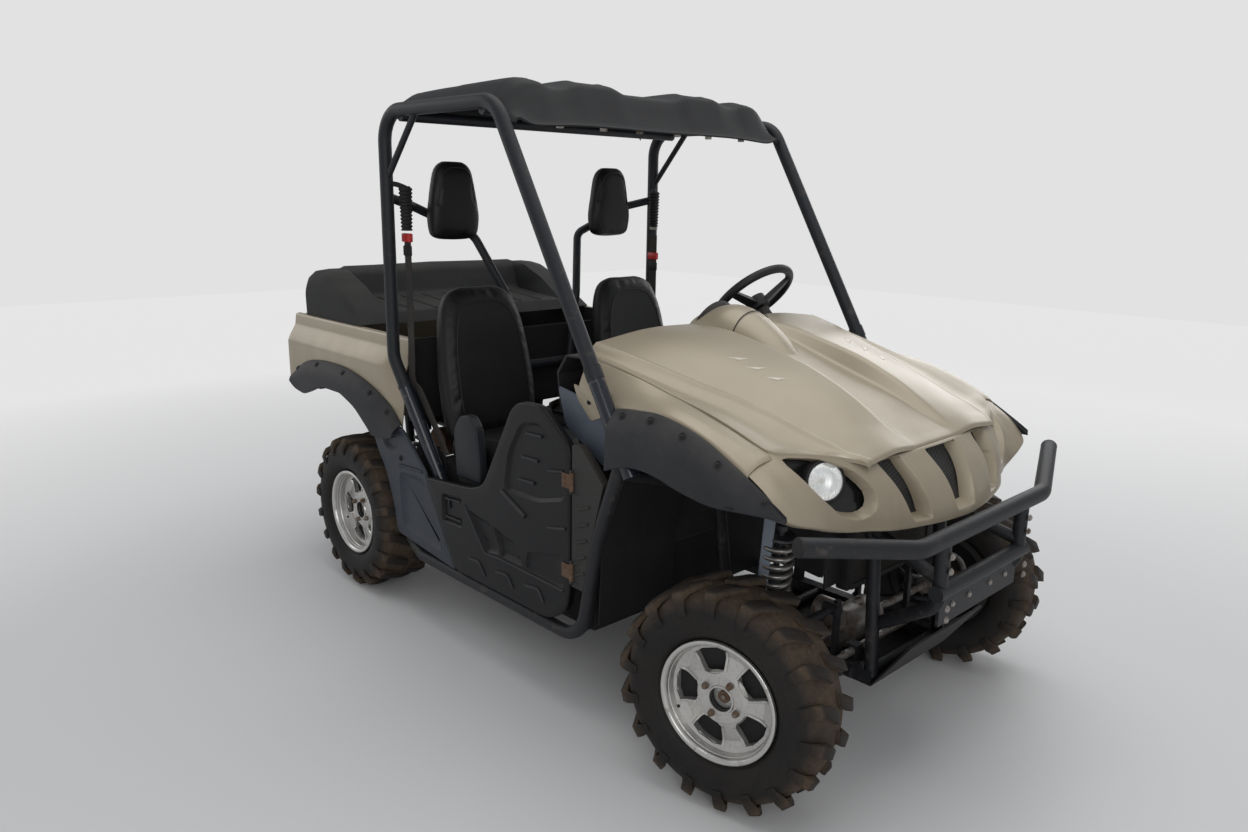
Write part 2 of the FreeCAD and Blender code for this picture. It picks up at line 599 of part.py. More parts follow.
# Lamps: a dark bezel sunk behind each opening and a round lamp through it
bezel_depth = 26 + size.fit
bezel_lines = [[(x - 0.94 * bezel_depth, y, z - 0.34 * bezel_depth) for x, y, z in line] for line in nose_lines]
bezel_corners = widened([(lamp_start, y, z) for y, z in LAMP_OPENING], well_wall * 1.4)
bezel = skin(bezel_lines, size.panel_wall, Vector(-0.94, 0, -0.34)).common(
    prism_along([(x, y, z - 9) for x, y, z in bezel_corners], 400, (1, 0, 0)))
lamp_centre = Vector(front_axle + 160, 440 * broad, 884)
lamp_way = Vector(0.84, 0.42, 0.20).normalize()
lamp_radius, lamp_long = 48, 40
drum = Part.makeCylinder(lamp_radius, lamp_long, lamp_centre - lamp_way * lamp_long, lamp_way)
dome_rise = 11
lens_radius = (lamp_radius ** 2 + dome_rise ** 2) / (2 * dome_rise)
lens_middle = lamp_centre - lamp_way * (lens_radius - dome_rise)
lens = Part.makeSphere(lens_radius, lens_middle).common(
    Part.makeCylinder(lamp_radius, 60, lamp_centre - lamp_way, lamp_way))
drum_room = Part.makeCylinder(lamp_radius + size.fit, 300, lamp_centre - lamp_way * 150, lamp_way)
pair("lamp_bezels", feature("lamp_bezel", bezel.cut(drum_room)))
pair("headlights", feature("headlight", joined(drum, lens)))

# Front fenders: the side band between the hood's edge and the flare
# columns: share of the nose's length behind the front axle, y and z at the hood's edge, y and z at the flare
FENDER_SECTIONS = (
    (0.992, 584, 1112, 622, 1040), (0.815, 572, 1090, 634, 1006), (0.664, 566, 1072, 640, 990),
    (0.514, 560, 1052, 640, 1016), (0.322, 556, 1024, 640, 1013), (0.117, 552, 996, 640, 984),
    (-0.092, 546, 952, 640, 930),
)
fender_lines = []
for share, y0, z0, y1, z1 in FENDER_SECTIONS:
    x = front_axle - share * size.nose_length
    fender_lines.append([(x, y * broad, z) for y, z in (
        (y0, z0), (0.45 * y0 + 0.55 * y1, 0.35 * z0 + 0.65 * z1 + 8), (y1, z1))])
fender = skin(fender_lines, size.panel_wall).cut(front_post_room)
pair("front_fenders", feature("front_fender", fender))

# Flares over the front wheels: black mouldings that stand out from the fenders
# columns: forward of the front axle, z where it leaves the fender, z of its lower lip
FRONT_FLARE = ((-386, 972, 832), (-290, 1012, 864), (-182, 1009, 860), (-66, 980, 836),
               (60, 922, 830), (130, 884, 828), (206, 840, 824))

def flare_lines(table, start):
    """Section lines of a flare: out from the panel, over a rounded shoulder and down to the lip."""
    lines = []
    for ahead, top_z, lip_z in table:
        drop = min(46, 0.45 * (top_z - lip_z) + 4)
        lines.append([(start + ahead, size.body_half + size.panel_wall + size.fit, top_z),
                      (start + ahead, size.body_half + 0.62 * size.flare_out, top_z - 0.42 * drop),
                      (start + ahead, size.flare_half - 4, top_z - drop),
                      (start + ahead, size.flare_half, lip_z)])
    return lines


front_flare = skin(flare_lines(FRONT_FLARE, front_axle), size.panel_wall, Vector(0, -1, -0.2)).cut(front_post_room)
pair("front_flares", feature("front_flare", front_flare))

# Liners in the front wheel wells: a roof under the flare's lip and a wall behind the tyre
liner_inner, liner_thick, lip_rise = 322, 4, 7
# columns: forward of the front axle, height
LINER_WALL = ((-462, 330), (-452, 560), (-404, 790), (-330, 869))
LINER_ROOF = ((-330, 869),) + tuple((ahead, lip_z + lip_rise) for ahead, top_z, lip_z in FRONT_FLARE[1:-2])


def liner_part(name, table, depth):
    """A band of one thickness that follows a row of points."""
    under = [(x, z) for x, z in table]
    over = [(x - liner_thick * 0.7, z + liner_thick * 0.7) for x, z in reversed(table)]
    return prism(name, [(f"front_axle + ({x})", str(z)) for x, z in under + over], depth, offset=str(liner_inner))


liner = doc.addObject("Part::MultiFuse", "wheel_liner")
liner.Shapes = [liner_part("liner_wall", LINER_WALL, f"sill_half - 4 - {liner_inner}"),
                liner_part("liner_roof", LINER_ROOF, f"flare_half - 2 * panel_wall - {liner_inner}")]
liner_cut = doc.addObject("Part::Cut", "liner_beside_sill")
liner_cut.Base = liner
liner_cut.Tool = feature("liner_room", sill_room.fuse(rod(*post_arm_ends, tube_r - 3 + size.fit)))
doc.recompute()
pair("wheel_liners", liner_cut)

# Dash and firewall: one folded moulding across the cab
# columns: forward of the doors' front edge, height
DASH = ((-19.5, 1110), (-103.5, 1106), (-143.5, 1050), (-129.5, 950), (-45.5, 862), (56.5, 650), (80.5, 512))
dash_line = [(x, z) for x, z in DASH] + [(x + 7, z - 5) for x, z in reversed(DASH)]
dash = prism("dash_panel", [(f"door_front + ({x})", str(z)) for x, z in dash_line], "2 * (body_half - 50 - fit)",
             symmetric=True)

# Steering column jacket, through the top of the dash
lean = math.radians(size.column_angle)
axis = Vector(-math.cos(lean), 0, math.sin(lean))
wheel_middle = Vector(size.wheel_x, size.wheel_y, size.wheel_z)
jacket_radius, column_reach = 26, 62
jacket_top = wheel_middle - axis * column_reach
jacket = Part.makeCylinder(jacket_radius, 150, jacket_top - axis * 150, axis)
node("steering_column", feature("steering_column", jacket))
hole = feature("dash_room", Part.makeCylinder(jacket_radius + size.fit, 400, jacket_top - axis * 300, axis).fuse(
    dome_cutter))
dash_cut = doc.addObject("Part::Cut", "dash_with_hole")
dash_cut.Base = dash
dash_cut.Tool = hole
node("dash_panel", dash_cut)

# Steering wheel: round rim, three spokes and a hub, turned with the front wheels
grip = 15
rim_ring = Part.makeTorus(size.wheel_grip - grip, grip)
hub = Part.makeCylinder(38, 44, Vector(0, 0, -56)).fuse(
    Part.makeCylinder(14, 20, Vector(0, 0, size.fit - column_reach)))
spokes = []
for angle in (90, 215, 325):
    way = Vector(math.cos(math.radians(angle)), math.sin(math.radians(angle)), 0)
    side = Vector(-way.y, way.x, 0)
    inner = [way * 30 + side * s * 17 + Vector(0, 0, z) for s, z in ((-1, -46), (1, -46), (1, -26), (-1, -26))]
    outer = [way * (size.wheel_grip - grip) + side * s * 12 + Vector(0, 0, z) for s, z in ((-1, -7), (1, -7), (1, 5), (-1, 5))]
    spokes.append(Part.makeLoft([Part.makePolygon(inner + inner[:1]), Part.makePolygon(outer + outer[:1])], True, True))
steering_ratio = 9
steering_wheel = joined(rim_ring, hub, *spokes)
wheel_turn = Rotation(Vector(0, 1, 0), size.column_angle - 90) * Rotation(
    Vector(0, 0, 1), 90 + steering_ratio * size.steer_angle)
node("steering_wheel", feature("steering_wheel", steering_wheel, Placement(wheel_middle, wheel_turn)))

# Seats: a leaning back and a cushion, one soft block each
seat_y, seat_w = size.seat_centre, size.seat_half


def pad_section(x, z, wide, deep, tilt):
    """A rounded-off rectangle across a seat, at one height."""
    cut = 0.32 * deep
    spots = ((-wide, -deep / 2 + cut), (-wide + cut, -deep / 2), (wide - cut, -deep / 2), (wide, -deep / 2 + cut),
             (wide, deep / 2), (wide - cut * 0.8, deep / 2 + cut * 0.7), (-wide + cut * 0.8, deep / 2 + cut * 0.7),
             (-wide, deep / 2))
    ring = [Vector(x + ahead, seat_y + across, z + ahead * tilt) for across, ahead in spots]
    return Part.makePolygon(ring + ring[:1])


back = Part.makeLoft([pad_section(size.post_back + 200, size.seat_height + 60, seat_w - 14, 108, 0.15),
                      pad_section(size.post_back + 178, 860, seat_w, 116, 0.15),
                      pad_section(size.post_back + 142, 1080, seat_w - 22, 104, 0.15),
                      pad_section(size.post_back + 112, 1200, seat_w - 60, 80, 0.15),
                      pad_section(size.post_back + 106, 1236, seat_w - 92, 46, 0.15)], True, True)
cushion_profile = [(size.post_back + 205, 0), (size.post_back + 640, 0), (size.post_back + 668, 70),
                   (size.post_back + 640, 132), (size.post_back + 560, 140), (size.post_back + 300, 112),
                   (size.post_back + 205, 118)]
cushion_face = [Vector(x, seat_y - seat_w, size.seat_height + z) for x, z in cushion_profile]
cushion = Part.Face(Part.makePolygon(cushion_face + cushion_face[:1])).extrude(Vector(0, 2 * seat_w, 0))
pair("seats", feature("seat", joined(back, cushion)))

# Seat base: a hollow console under the seats, open below and behind, with the hip guards at its sides
base_back, base_front = size.post_back + 118, size.post_back + 640
base_low, base_high = high + tube_r + size.fit, size.seat_height - size.fit
base_half = size.body_half - 78
console_outer = box((base_back, -base_half, base_low), (base_front, base_half, base_high))
console_inner = box((base_back - 1, 5 - base_half, base_low - 1), (base_front - 5, base_half - 5, base_high - 5))
hip_profile = [(size.post_back + 330, 600), (size.post_back + 470, 600), (size.post_back + 466, 700),
               (size.post_back + 446, 800), (size.post_back + 410, 832), (size.post_back + 352, 822),
               (size.post_back + 318, 770)]
hip_face = [Vector(x, base_half + 18, z) for x, z in hip_profile]
hip = Part.Face(Part.makePolygon(hip_face + hip_face[:1])).extrude(Vector(0, 26, 0))
hip_foot = box((size.post_back + 334, base_half - 2, 588), (size.post_back + 466, base_half + 42, 612))
console = console_outer.cut(console_inner)
node("seat_base", feature("seat_base", joined(console, *both_sides(hip, hip_foot))))

# Head rests: tapered pads in front of their bars
rest_lines = []
for up, wide, deep in ((-142, 88, 40), (-118, 106, 66), (-60, 110, rest_deep), (70, 90, 66), (122, 74, 54), (142, 52, 30)):
    ring = [Vector(rest_x + 8 + ahead, rest_y + across, rest_z + up) for across, ahead in (
        (-wide, -deep / 2 + 8), (-wide + 20, -deep / 2), (wide - 20, -deep / 2), (wide, -deep / 2 + 8),
        (wide - 4, deep / 2 - 12), (wide - 30, deep / 2), (-wide + 30, deep / 2), (-wide + 4, deep / 2 - 12))]
    rest_lines.append(Part.makePolygon(ring + ring[:1]))
rest_pad = Part.makeLoft(rest_lines, True, True)
pair("head_rests", feature("head_rest", rest_pad))

# Belts: ribbed boot at the rear post, webbing down to the seat's side
belt_x, belt_y = size.post_back + 52, half - 42
boot_low = top - 398
boot = Part.makeCone(24, 19, 150, Vector(belt_x, belt_y, boot_low))
web_corners = ((-22, 905), (22, 905), (172, 640), (140, 625))
lower_web = prism_along([(belt_x + ahead, belt_y - 2 - 0.12 * (905 - z), z) for ahead, z in web_corners], 4, (0, 1, 0))
hanger = rod((size.post_back, half, boot_low + 160), (belt_x, belt_y, boot_low + 142), 9).cut(side_tube)
webbing = joined(box((belt_x - 22, belt_y - 2, 900), (belt_x + 22, belt_y + 2, boot_low)), hanger,
                 box((belt_x - 14, belt_y - 9, boot_low - 52), (belt_x + 14, belt_y + 9, boot_low)),
                 box((belt_x - 26, belt_y - 6, boot_low - 302), (belt_x + 26, belt_y + 6, boot_low - 290)), boot)
pair("seat_belts", feature("seat_belt", webbing))

# Body sides behind the doors, with the hollow above the scoop, and the narrow panels ahead of the doors
door_low_back, door_top_back = "door_front - 0.6225 * cab_length", "door_front - 0.8032 * cab_length"
side_panel = prism("side_panel", (
    (f"{door_low_back} - 9", "sill_height + sill_tube + fit"), ("rear_axle + tyre_radius + 18", "sill_height + 56"),
    ("rear_axle + tyre_radius + 4", "sill_height + 150"), ("rear_axle + 262", "540"),
    ("rear_axle + 206", "606"), ("rear_axle + 168", "668"), ("post_back + 80.5", "690"),
    (f"{door_top_back} - 10", "592"), (f"{door_top_back} + 3", "560")),
    "panel_wall + 12", offset="door_inner + 8")
recess(side_panel, ((f"{door_low_back} - 80", "320"), ("rear_axle + 380", "352"), ("rear_axle + 356", "520"),
                    (f"{door_top_back} - 10", "470")), "12", "door_inner + panel_wall + 20")
pair("side_panels", side_panel)
hinge_x, hinge_y = size.door_front + size.door_gap + 2, size.door_inner + size.door_thick - 1
hinge_long, hinge_pin = 56, 4
hinge_places = (size.sill_height + 190, size.sill_height + 470)
panel_front = prism("panel_ahead", (
    ("door_front + door_gap", "430"), ("door_front + 56", "430"), ("door_front + 92", "600"),
    ("door_front + 140", "776"), ("door_front + 40", "872"), ("door_front + door_gap", "866")),
    "26", offset="door_inner + 2")
room = feature("hinge_room", sill_room.fuse([box((hinge_x - 12, hinge_y - 12, low - 8),
                                                 (hinge_x + 10, hinge_y + 12, low + hinge_long + 8))
                                             for low in hinge_places]))
panel_cut = doc.addObject("Part::Cut", "panel_with_notches")
panel_cut.Base = panel_front
panel_cut.Tool = room
pins = []
for low in hinge_places:
    pins.append(Part.makeCylinder(hinge_pin, hinge_long + 14, Vector(hinge_x, hinge_y, low - 7)))
    for z in (low - 8, low + hinge_long + 1):
        pins.append(box((hinge_x - 5, hinge_y - 6, z), (hinge_x + 26, hinge_y - 2, z + 7)))
        pins.append(box((hinge_x - 5, hinge_y - 6, z), (hinge_x + 5, hinge_y + 5, z + 7)))
hinge_panel = doc.addObject("Part::MultiFuse", "hinge_panel")
hinge_panel.Shapes = [panel_cut, feature("hinge_pins", joined(*pins))]
doc.recompute()
pair("hinge_panels", hinge_panel)

# Kick panels beside the dash, behind the front posts
kick = prism("kick_panel", (("door_front - 132", "1012"), ("door_front + 28", "986"), ("door_front + 108", "914"),
                            ("door_front + 116", "812"), ("door_front + 84", "800"), ("door_front - 96", "896")),
             "panel_wall", offset="body_half - 50", rounding=6)
pair("kick_panels", kick)

# Doors: hollow-backed half doors with a notch in the top edge, hinged in front
DOOR = (
    ("door_front", "door_front - 64"), ("door_front", "862"), ("door_front - 126", "956"),
    ("door_front - 246", "952"), ("door_front - 286", "920"), ("door_front - 352", "800"),
    ("door_front - 452", "632"), ("door_front - 0.522 * cab_length", "606"), (door_top_back, "580"),
    (door_low_back, "sill_height + sill_tube + door_gap"),
    ("door_front - 90", "sill_height + sill_tube + door_gap"), ("door_front - 6", "sill_height + 96"),
)


def door(name):
    """The left door: a moulded slab with a sunk field, three raised bars and a latch hollow."""
    body = prism(name, DOOR, "door_thick", offset="door_inner")
    outer = "door_inner + door_thick"
    recess(body, (("door_front - 60", "420"), ("door_front - 60", "800"), ("door_front - 180", "880"),
                  ("door_front - 330", "600"), ("door_front - 0.562 * cab_length", "520"),
                  ("door_front - 0.482 * cab_length", "400")), "7", outer)
    for number, (back_by, low) in enumerate(((196, 800), (226, 720), (256, 640))):
        bars = outline(body, "XZ_Plane", ((f"door_front - {back_by}", f"{low}"),
                                          (f"door_front - {back_by - 92}", f"{low - 20}"),
                                          (f"door_front - {back_by - 92}", f"{low - 8}"),
                                          (f"door_front - {back_by}", f"{low + 12}")), f"bar_{number}")
        bars.setExpression("AttachmentOffset.Base.z", bind(f"-({outer} - 10)"))
        pad = body.newObject("PartDesign::Pad", f"bar_pad_{number}")
        pad.Profile = bars
        pad.Length = 10
        pad.Reversed = True
        doc.recompute()
    latch = "door_front - 0.6928 * cab_length"
    recess(body, ((latch, "470"), (f"{latch} + 50", "440"), (f"{latch} + 50", "520"), (f"{latch} - 20", "540")),
           "14", outer, "latch")
    return body


left_door = door("left_door")
leaves = [joined(Part.makeCylinder(size.hinge_radius, hinge_long, Vector(hinge_x, hinge_y, low)),
                 box((hinge_x - 42, hinge_y - 2, low + 6), (hinge_x, hinge_y + 4, low + 50))).cut(
                     Part.makeCylinder(hinge_pin + size.fit, 80, Vector(hinge_x, hinge_y, low - 10)))
          for low in hinge_places]
leaf_objects = [feature(f"hinge_{number}", leaf) for number, leaf in enumerate(leaves)]
door_with_hinges = doc.addObject("Part::MultiFuse", "door_and_hinges")
door_with_hinges.Shapes = [left_door, *leaf_objects]
node("door_left", door_with_hinges)
node("door_right", mirrored(door_with_hinges))

# Engine, exhaust and drive line, seen from below and behind
engine = doc.addObject("Part::Box", "engine_block")
for prop, expression in (("Length", "engine_length"), ("Width", "engine_width"), ("Height", "engine_height"),
                         ("Placement.Base.x", "post_back + 130"), ("Placement.Base.y", "-engine_width / 2"),
                         ("Placement.Base.z", "rail_height + frame_tube + fit")):
    engine.setExpression(prop, bind(expression))
node("engine_block", engine)
muffler = joined(box((muffler_x - 14, -10, 530), (muffler_x + 14, 10, size.upper_rail - tube_r + 2 - size.fit)),
                 Part.makeCylinder(66, 330, Vector(muffler_x, -150, 470), Vector(0, 1, 0)),
                 rod((muffler_x, 90, 470), (muffler_x - 130, 90, 470), 19),
                 tube([(muffler_x + 40, -100, 470), (muffler_x + 200, -100, 470),
                       (size.post_back + 60, -110, 430), (size.post_back + 130 - size.fit, -110, 430)], 17, 60))
node("muffler", feature("muffler", muffler))
case_feet = [box((axle - 20, -rail + tube_r + size.fit, 256), (axle + 20, rail - tube_r - size.fit, 280))
             for axle in (front_axle, rear_axle)]
front_case = joined(Part.makeCylinder(60, 150, Vector(front_axle, -75, axle_z + 6), Vector(0, 1, 0)), case_feet[0],
                    rod((front_axle - 130, 0, axle_z + 6), (front_axle, 0, axle_z + 6), 40))
rear_case = joined(Part.makeCylinder(84, 170, Vector(rear_axle, -85, axle_z + 6), Vector(0, 1, 0)), case_feet[1],
                   rod((size.post_back + 130 - size.fit, 0, axle_z + 8), (rear_axle, 0, axle_z + 8), 22))
kingpin_y = size.half_width - size.front_tyre_width / 2 - size.kingpin_inset
front_shaft = joined(rod((front_axle, 60, axle_z + 6), (front_axle, kingpin_y - 52, axle_z), 12),
                     rod((front_axle, kingpin_y - 110, axle_z + 1), (front_axle, kingpin_y - 40, axle_z), 30))
rear_carrier_y = size.half_width - size.rear_tyre_width / 2 - 60
rear_shaft = joined(rod((rear_axle, 70, axle_z + 6), (rear_axle, rear_carrier_y - 40, axle_z), 13),
                    rod((rear_axle, rear_carrier_y - 100, axle_z + 1), (rear_axle, rear_carrier_y - 30, axle_z), 34))
front_drive = joined(front_case, *both_sides(front_shaft))
rear_drive = joined(rear_case, *both_sides(rear_shaft))
node("drive_line", feature("drive_line", Part.makeCompound([front_drive, rear_drive])))

# Suspension arms: two wishbones on each side, front and rear, and the rear hub carriers
arm_r, bush_r, ball_r, ball_half = 12, 17, 17, 11
joint_low, joint_high = axle_z - 78, axle_z + 84
shock_low_z = 296


def wishbone(x, z_in, y_out, z_out, behind, before, elbow, elbow_in):
    """Two bent bars from the frame that meet at the outer ball joint, with their pivot bushes."""
    y_in = size.rail_half + size.frame_tube + bush_r + size.fit
    dip = -6 if z_out < axle_z else 6
    share = (y_out - elbow_in - y_in) / (y_out - 12 - y_in)
    z_mid = z_in + share * (z_out + dip - z_in)
    pieces = [Part.makeCylinder(ball_r, 2 * ball_half, Vector(x, y_out, z_out - ball_half))]
    for ahead in (behind, before):
        side = -1 if ahead < 0 else 1
        mid = side * elbow if abs(ahead) > 100 else side * (12 + (1 - share) * (abs(ahead) - 12))
        pieces.append(tube([(x + ahead, y_in, z_in), (x + mid, y_out - elbow_in, z_mid),
                            (x + side * 12, y_out - 12, z_out + dip)], arm_r, 24))
        pieces.append(rod((x + ahead - 24, y_in, z_in), (x + ahead + 24, y_in, z_in), bush_r))
    return joined(*pieces)


def lower_arm(x, y_out, spread, shock_low):
    """A lower wishbone with the seat for its shock."""
    y_in = size.rail_half + size.frame_tube + bush_r
    share = (shock_low[1] - y_in) / (y_out - 12 - y_in)
    bar_z = high + 6 + share * (joint_low - 6 - high - 6)
    bar_half = spread + share * (12 - spread)
    seat_bar = rod((shock_low[0] - 26, shock_low[1], bar_z), (x + bar_half + 16, shock_low[1], bar_z), 11)
    return joined(wishbone(x, high + 6, y_out, joint_low, -spread, spread, 52, 70), seat_bar,
                  *shock_mount(*shock_low, bar_z))


front_shock_low = (front_axle - 46, 396, shock_low_z)
rear_shock_low = (rear_axle - 46, 376, shock_low_z)
front_low = lower_arm(front_axle, kingpin_y, 118, front_shock_low)
front_high = wishbone(front_axle, high + UPPER_PIVOTS[0][3], kingpin_y, joint_high, *UPPER_PIVOTS[0][1:3], 86, 105)
pair("front_arms", feature("front_arm", Part.makeCompound([front_low, front_high])))
rear_low = lower_arm(rear_axle, rear_carrier_y, 130, rear_shock_low)
rear_high = wishbone(rear_axle, high + UPPER_PIVOTS[1][3], rear_carrier_y, joint_high, *UPPER_PIVOTS[1][1:3], 106, 70)
spindle_radius, nut_side = 17, 6
carrier = joined(Part.makeCylinder(52, 34, Vector(rear_axle, rear_carrier_y - 17, axle_z), Vector(0, 1, 0)),
                 box((rear_axle - 22, rear_carrier_y - 14, joint_low), (rear_axle + 22, rear_carrier_y + 14, joint_high)),
                 rod((rear_axle, rear_carrier_y, axle_z), (rear_axle, rear_carrier_y + 60 + 44 + nut_side, axle_z),
                     spindle_radius))
pair("rear_arms", feature("rear_arm", joined(rear_low, rear_high, carrier)))


def shock(low, upper, coil_radius, turns):
    """A spring over its damper: eyes, rod and a coil drawn as rounds of even pitch."""
    low, upper = Vector(*low), Vector(*upper)
    way = upper - low
    span = way.Length
    profile = [Vector(0, 0, 14), Vector(24, 0, 14), Vector(24, 0, 40), Vector(coil_radius - 9, 0, 60)]
    pitch = (span - 130) / turns
    for number in range(turns):
        start = 60 + number * pitch
        profile.append(Vector(coil_radius, 0, start + 0.3 * pitch))
        profile.append(Vector(coil_radius - 9, 0, start + pitch))
    profile += [Vector(27, 0, span - 50), Vector(27, 0, span - 14), Vector(0, 0, span - 14)]
    body = Part.Face(Part.makePolygon(profile + profile[:1])).revolve(Vector(), Vector(0, 0, 1), 360)
    stick = Part.makeCylinder(9, span, Vector())
    damper = joined(body, stick)
    damper.Placement = Placement(low, Rotation(Vector(0, 0, 1), way))
    eyes = [Part.makeCylinder(eye_radius, 2 * eye_half, end - Vector(eye_half, 0, 0), Vector(1, 0, 0))
            for end in (low, upper)]
    return joined(damper, *eyes)


pair("front_shocks", feature("front_shock", shock(front_shock_low, (shock_top_x, shock_top_y, shock_top_z), 40, 9)))
pair("rear_shocks", feature("rear_shock", shock(rear_shock_low, rear_shock_top, 38, 6)))

# Knuckles: hub carrier with its ball joint ears, spindle and steering arm, drawn at the kingpin
arm_low = 4 + 8 + 6
for side, name in ((1, "knuckle_left"), (-1, "knuckle_right")):
    hub_block = Part.makeCylinder(46, 44, Vector(0, -14, 0), Vector(0, 1, 0))
    boss_low, boss_high = joint_low + ball_half + size.fit, joint_high - ball_half - size.fit
    boss = Part.makeCylinder(19, boss_high - boss_low, Vector(0, 0, boss_low - axle_z))
    spindle = Part.makeCylinder(spindle_radius, size.kingpin_inset + 36 + nut_side - 20, Vector(0, 20, 0), Vector(0, 1, 0))
    arm = box((0, -12, arm_low), (size.steering_arm + 12, 12, arm_low + 14))
    knuckle = joined(hub_block, boss, spindle, arm)
    if side < 0:
        knuckle = knuckle.mirror(Vector(), Vector(0, 1, 0))
    node(name, feature(name, knuckle, Placement(Vector(front_axle, side * kingpin_y, axle_z),
                                                Rotation(Vector(0, 0, 1), size.steer_angle))))

# Steering rack with its tie rods
rack_parts = [rod((rack_x, -230 + rack_shift, rack_z), (rack_x, 230 + rack_shift, rack_z), rack_r)]
for side in (-1, 1):
    outer_y = side * kingpin_y + rack_shift
    rack_parts.append(rod((rack_x, side * 222 + rack_shift, rack_z), (rack_x, outer_y, rack_z), 8))
    rack_parts.append(Part.makeCylinder(14, 19, Vector(rack_x, outer_y, rack_z - 9.5)))
node("steering_rack", feature("steering_rack", joined(*rack_parts)))


# Wheels: each rim is turned from one section, with five openings cut through its disc
def rim(name, width, disc):
    """A wheel about the Y axis, its outer face towards +Y."""
    body = doc.addObject("PartDesign::Body", name)
    lip, seat = "rim_radius", "rim_radius - 15"
    edge = f"{width} / 2"
    profile = outline(body, "XY_Plane", (
        (lip, edge), (lip, f"{edge} - 7"), (seat, f"{edge} - 16"), (seat, f"16 - {edge}"), (lip, f"7 - {edge}"),
        (lip, f"-{edge}"), (f"{seat} - 6", f"4 - {edge}"), (f"{seat} - 7", f"{disc} - 8"),
        ("66", f"{disc} - 2"), ("46", f"{disc} - 12"), ("34", "-22"), ("17.4", "-22"), ("17.4", f"{disc} + 2"),
        ("hub_bore", f"{disc} + 2"), ("hub_bore", f"{disc} + disc_thick + 8"),
        ("64", f"{disc} + disc_thick + 8"), (f"{seat} - 34", f"{disc} + disc_thick - 4"),
        (f"{seat} - 7", f"{disc} + disc_thick + 6"), (f"{seat} - 3", f"{edge} - 14")), "section")
    turned_part = body.newObject("PartDesign::Revolution", "revolution")
    turned_part.Profile = profile
    turned_part.ReferenceAxis = (profile, ["V_Axis"])
    turned_part.Angle = 360
    doc.recompute()
    opening = outline(body, "XZ_Plane", (
        ("rim_radius - 31", "22"), ("rim_radius - 42", "47"), ("76", "31"), ("68", "10"), ("68", "-10"),
        ("76", "-31"), ("rim_radius - 42", "-47"), ("rim_radius - 31", "-22")), "opening")
    window = body.newObject("PartDesign::Pocket", "window")
    window.Profile = opening
    window.Type = "ThroughAll"
    window.Midplane = True
    doc.recompute()
    spread = body.newObject("PartDesign::PolarPattern", "windows")
    spread.Originals = [window]
    spread.Axis = (opening, ["N_Axis"])
    spread.Angle = 360
    spread.Occurrences = 5
    body.Tip = spread
    doc.recompute()
    return body


# Tyres: flat facets about the axle, raised into two staggered rows of slanted lugs that wrap the shoulders
def tyre(width, rim_width, pitches):
    """A tyre about the Y axis, its beads inside the rim's flanges."""
    crown = size.tyre_radius - size.lug_height
    wide = width / 2
    # columns: share of a pitch past the lug's start, whether it lies on the lug
    stations = ((0, False), (0.06, True), (0.40, True), (0.48, False))
    widest = math.pi * (1 - stations[-1][0]) / pitches
    bead = (rim_width / 2 - 17 - 1.5 * size.fit, (size.rim_radius - 15 + size.fit) / math.cos(widest))
    # columns: distance from the middle plane, radius between lugs, radius on a lug, start of the lug in pitches
    half_rows = ((bead[0], bead[1], bead[1], -0.10), (wide - 1, crown - 58, crown - 58, -0.10),
                 (0.985 * wide, crown - 50, crown - 25, -0.10), (0.80 * wide, crown - 5, size.tyre_radius - 2, -0.04),
                 (0.07 * wide, crown, size.tyre_radius, 0.38), (0.04 * wide, crown, crown, 0.40))
    rows = list(half_rows) + [(-across, low, upper, start + 0.5) for across, low, upper, start in reversed(half_rows)]
    rings = []
    for number in range(pitches):
        for past, raised in stations:
            ring = []
            for across, low, upper, start in rows:
                angle = 2 * math.pi * (number + start + past) / pitches
                radius = upper if raised else low
                ring.append(Vector(radius * math.cos(angle), across, radius * math.sin(angle)))
            rings.append(ring)
    return faceted(rings, closed=True)


for end, width, disc in (("front", "front_rim_width", 36), ("rear", "rear_rim_width", 44)):
    steer = size.steer_angle if end == "front" else 0
    axle = front_axle if end == "front" else rear_axle
    tyre_width = size.front_tyre_width if end == "front" else size.rear_tyre_width
    rim_width = size.front_rim_width if end == "front" else size.rear_rim_width
    tyre_shape = tyre(tyre_width, rim_width, 15)
    for side, hand in ((1, "left"), (-1, "right")):
        reach = size.half_width - tyre_width / 2
        pivot = kingpin_y if end == "front" else reach
        turn = math.radians(steer)
        out = reach - pivot
        centre = Vector(axle - side * out * math.sin(turn), side * (pivot + out * math.cos(turn)), axle_z)
        place = Placement(centre, Rotation(Vector(0, 0, 1), steer + (0 if side > 0 else 180)))
        wheel = rim(f"{end}_rim_{hand}", width, disc)
        wheel.Placement = place
        node(f"{end}_rim_{hand}", wheel)
        node(f"{end}_tyre_{hand}", feature(f"{end}_tyre_{hand}", tyre_shape, place))

# Bumper: top tube with swept ends, middle tube, uprights, stays back to the frame and a plate
bumper_r = size.bumper_tube
bar_x = front_axle + size.front_overhang - bumper_r
top_bar = tube([(bar_x - 124, -671, 798), (bar_x, -343, 744), (bar_x, 343, 744), (bar_x - 124, 671, 798)], bumper_r, 120)
mid_bar = rod((bar_x + 2, -250, 600), (bar_x + 2, 250, 600), bumper_r - 3)
upright = tube([(bar_x - 2, 222, 744), (bar_x - 2, 222, 560), (frame_front - 2, 168, 430)], bumper_r - 5, 70)
stay = rod((bar_x - 2, 222, 628), (frame_front - 30, rail, 690), bumper_r - 6)
plate = box((bar_x - 8, -218, 500), (bar_x, 218, 590))
bumper = joined(top_bar, mid_bar, plate, *both_sides(upright, stay))
node("front_bumper", feature("front_bumper", bumper.cut(main_frame)))

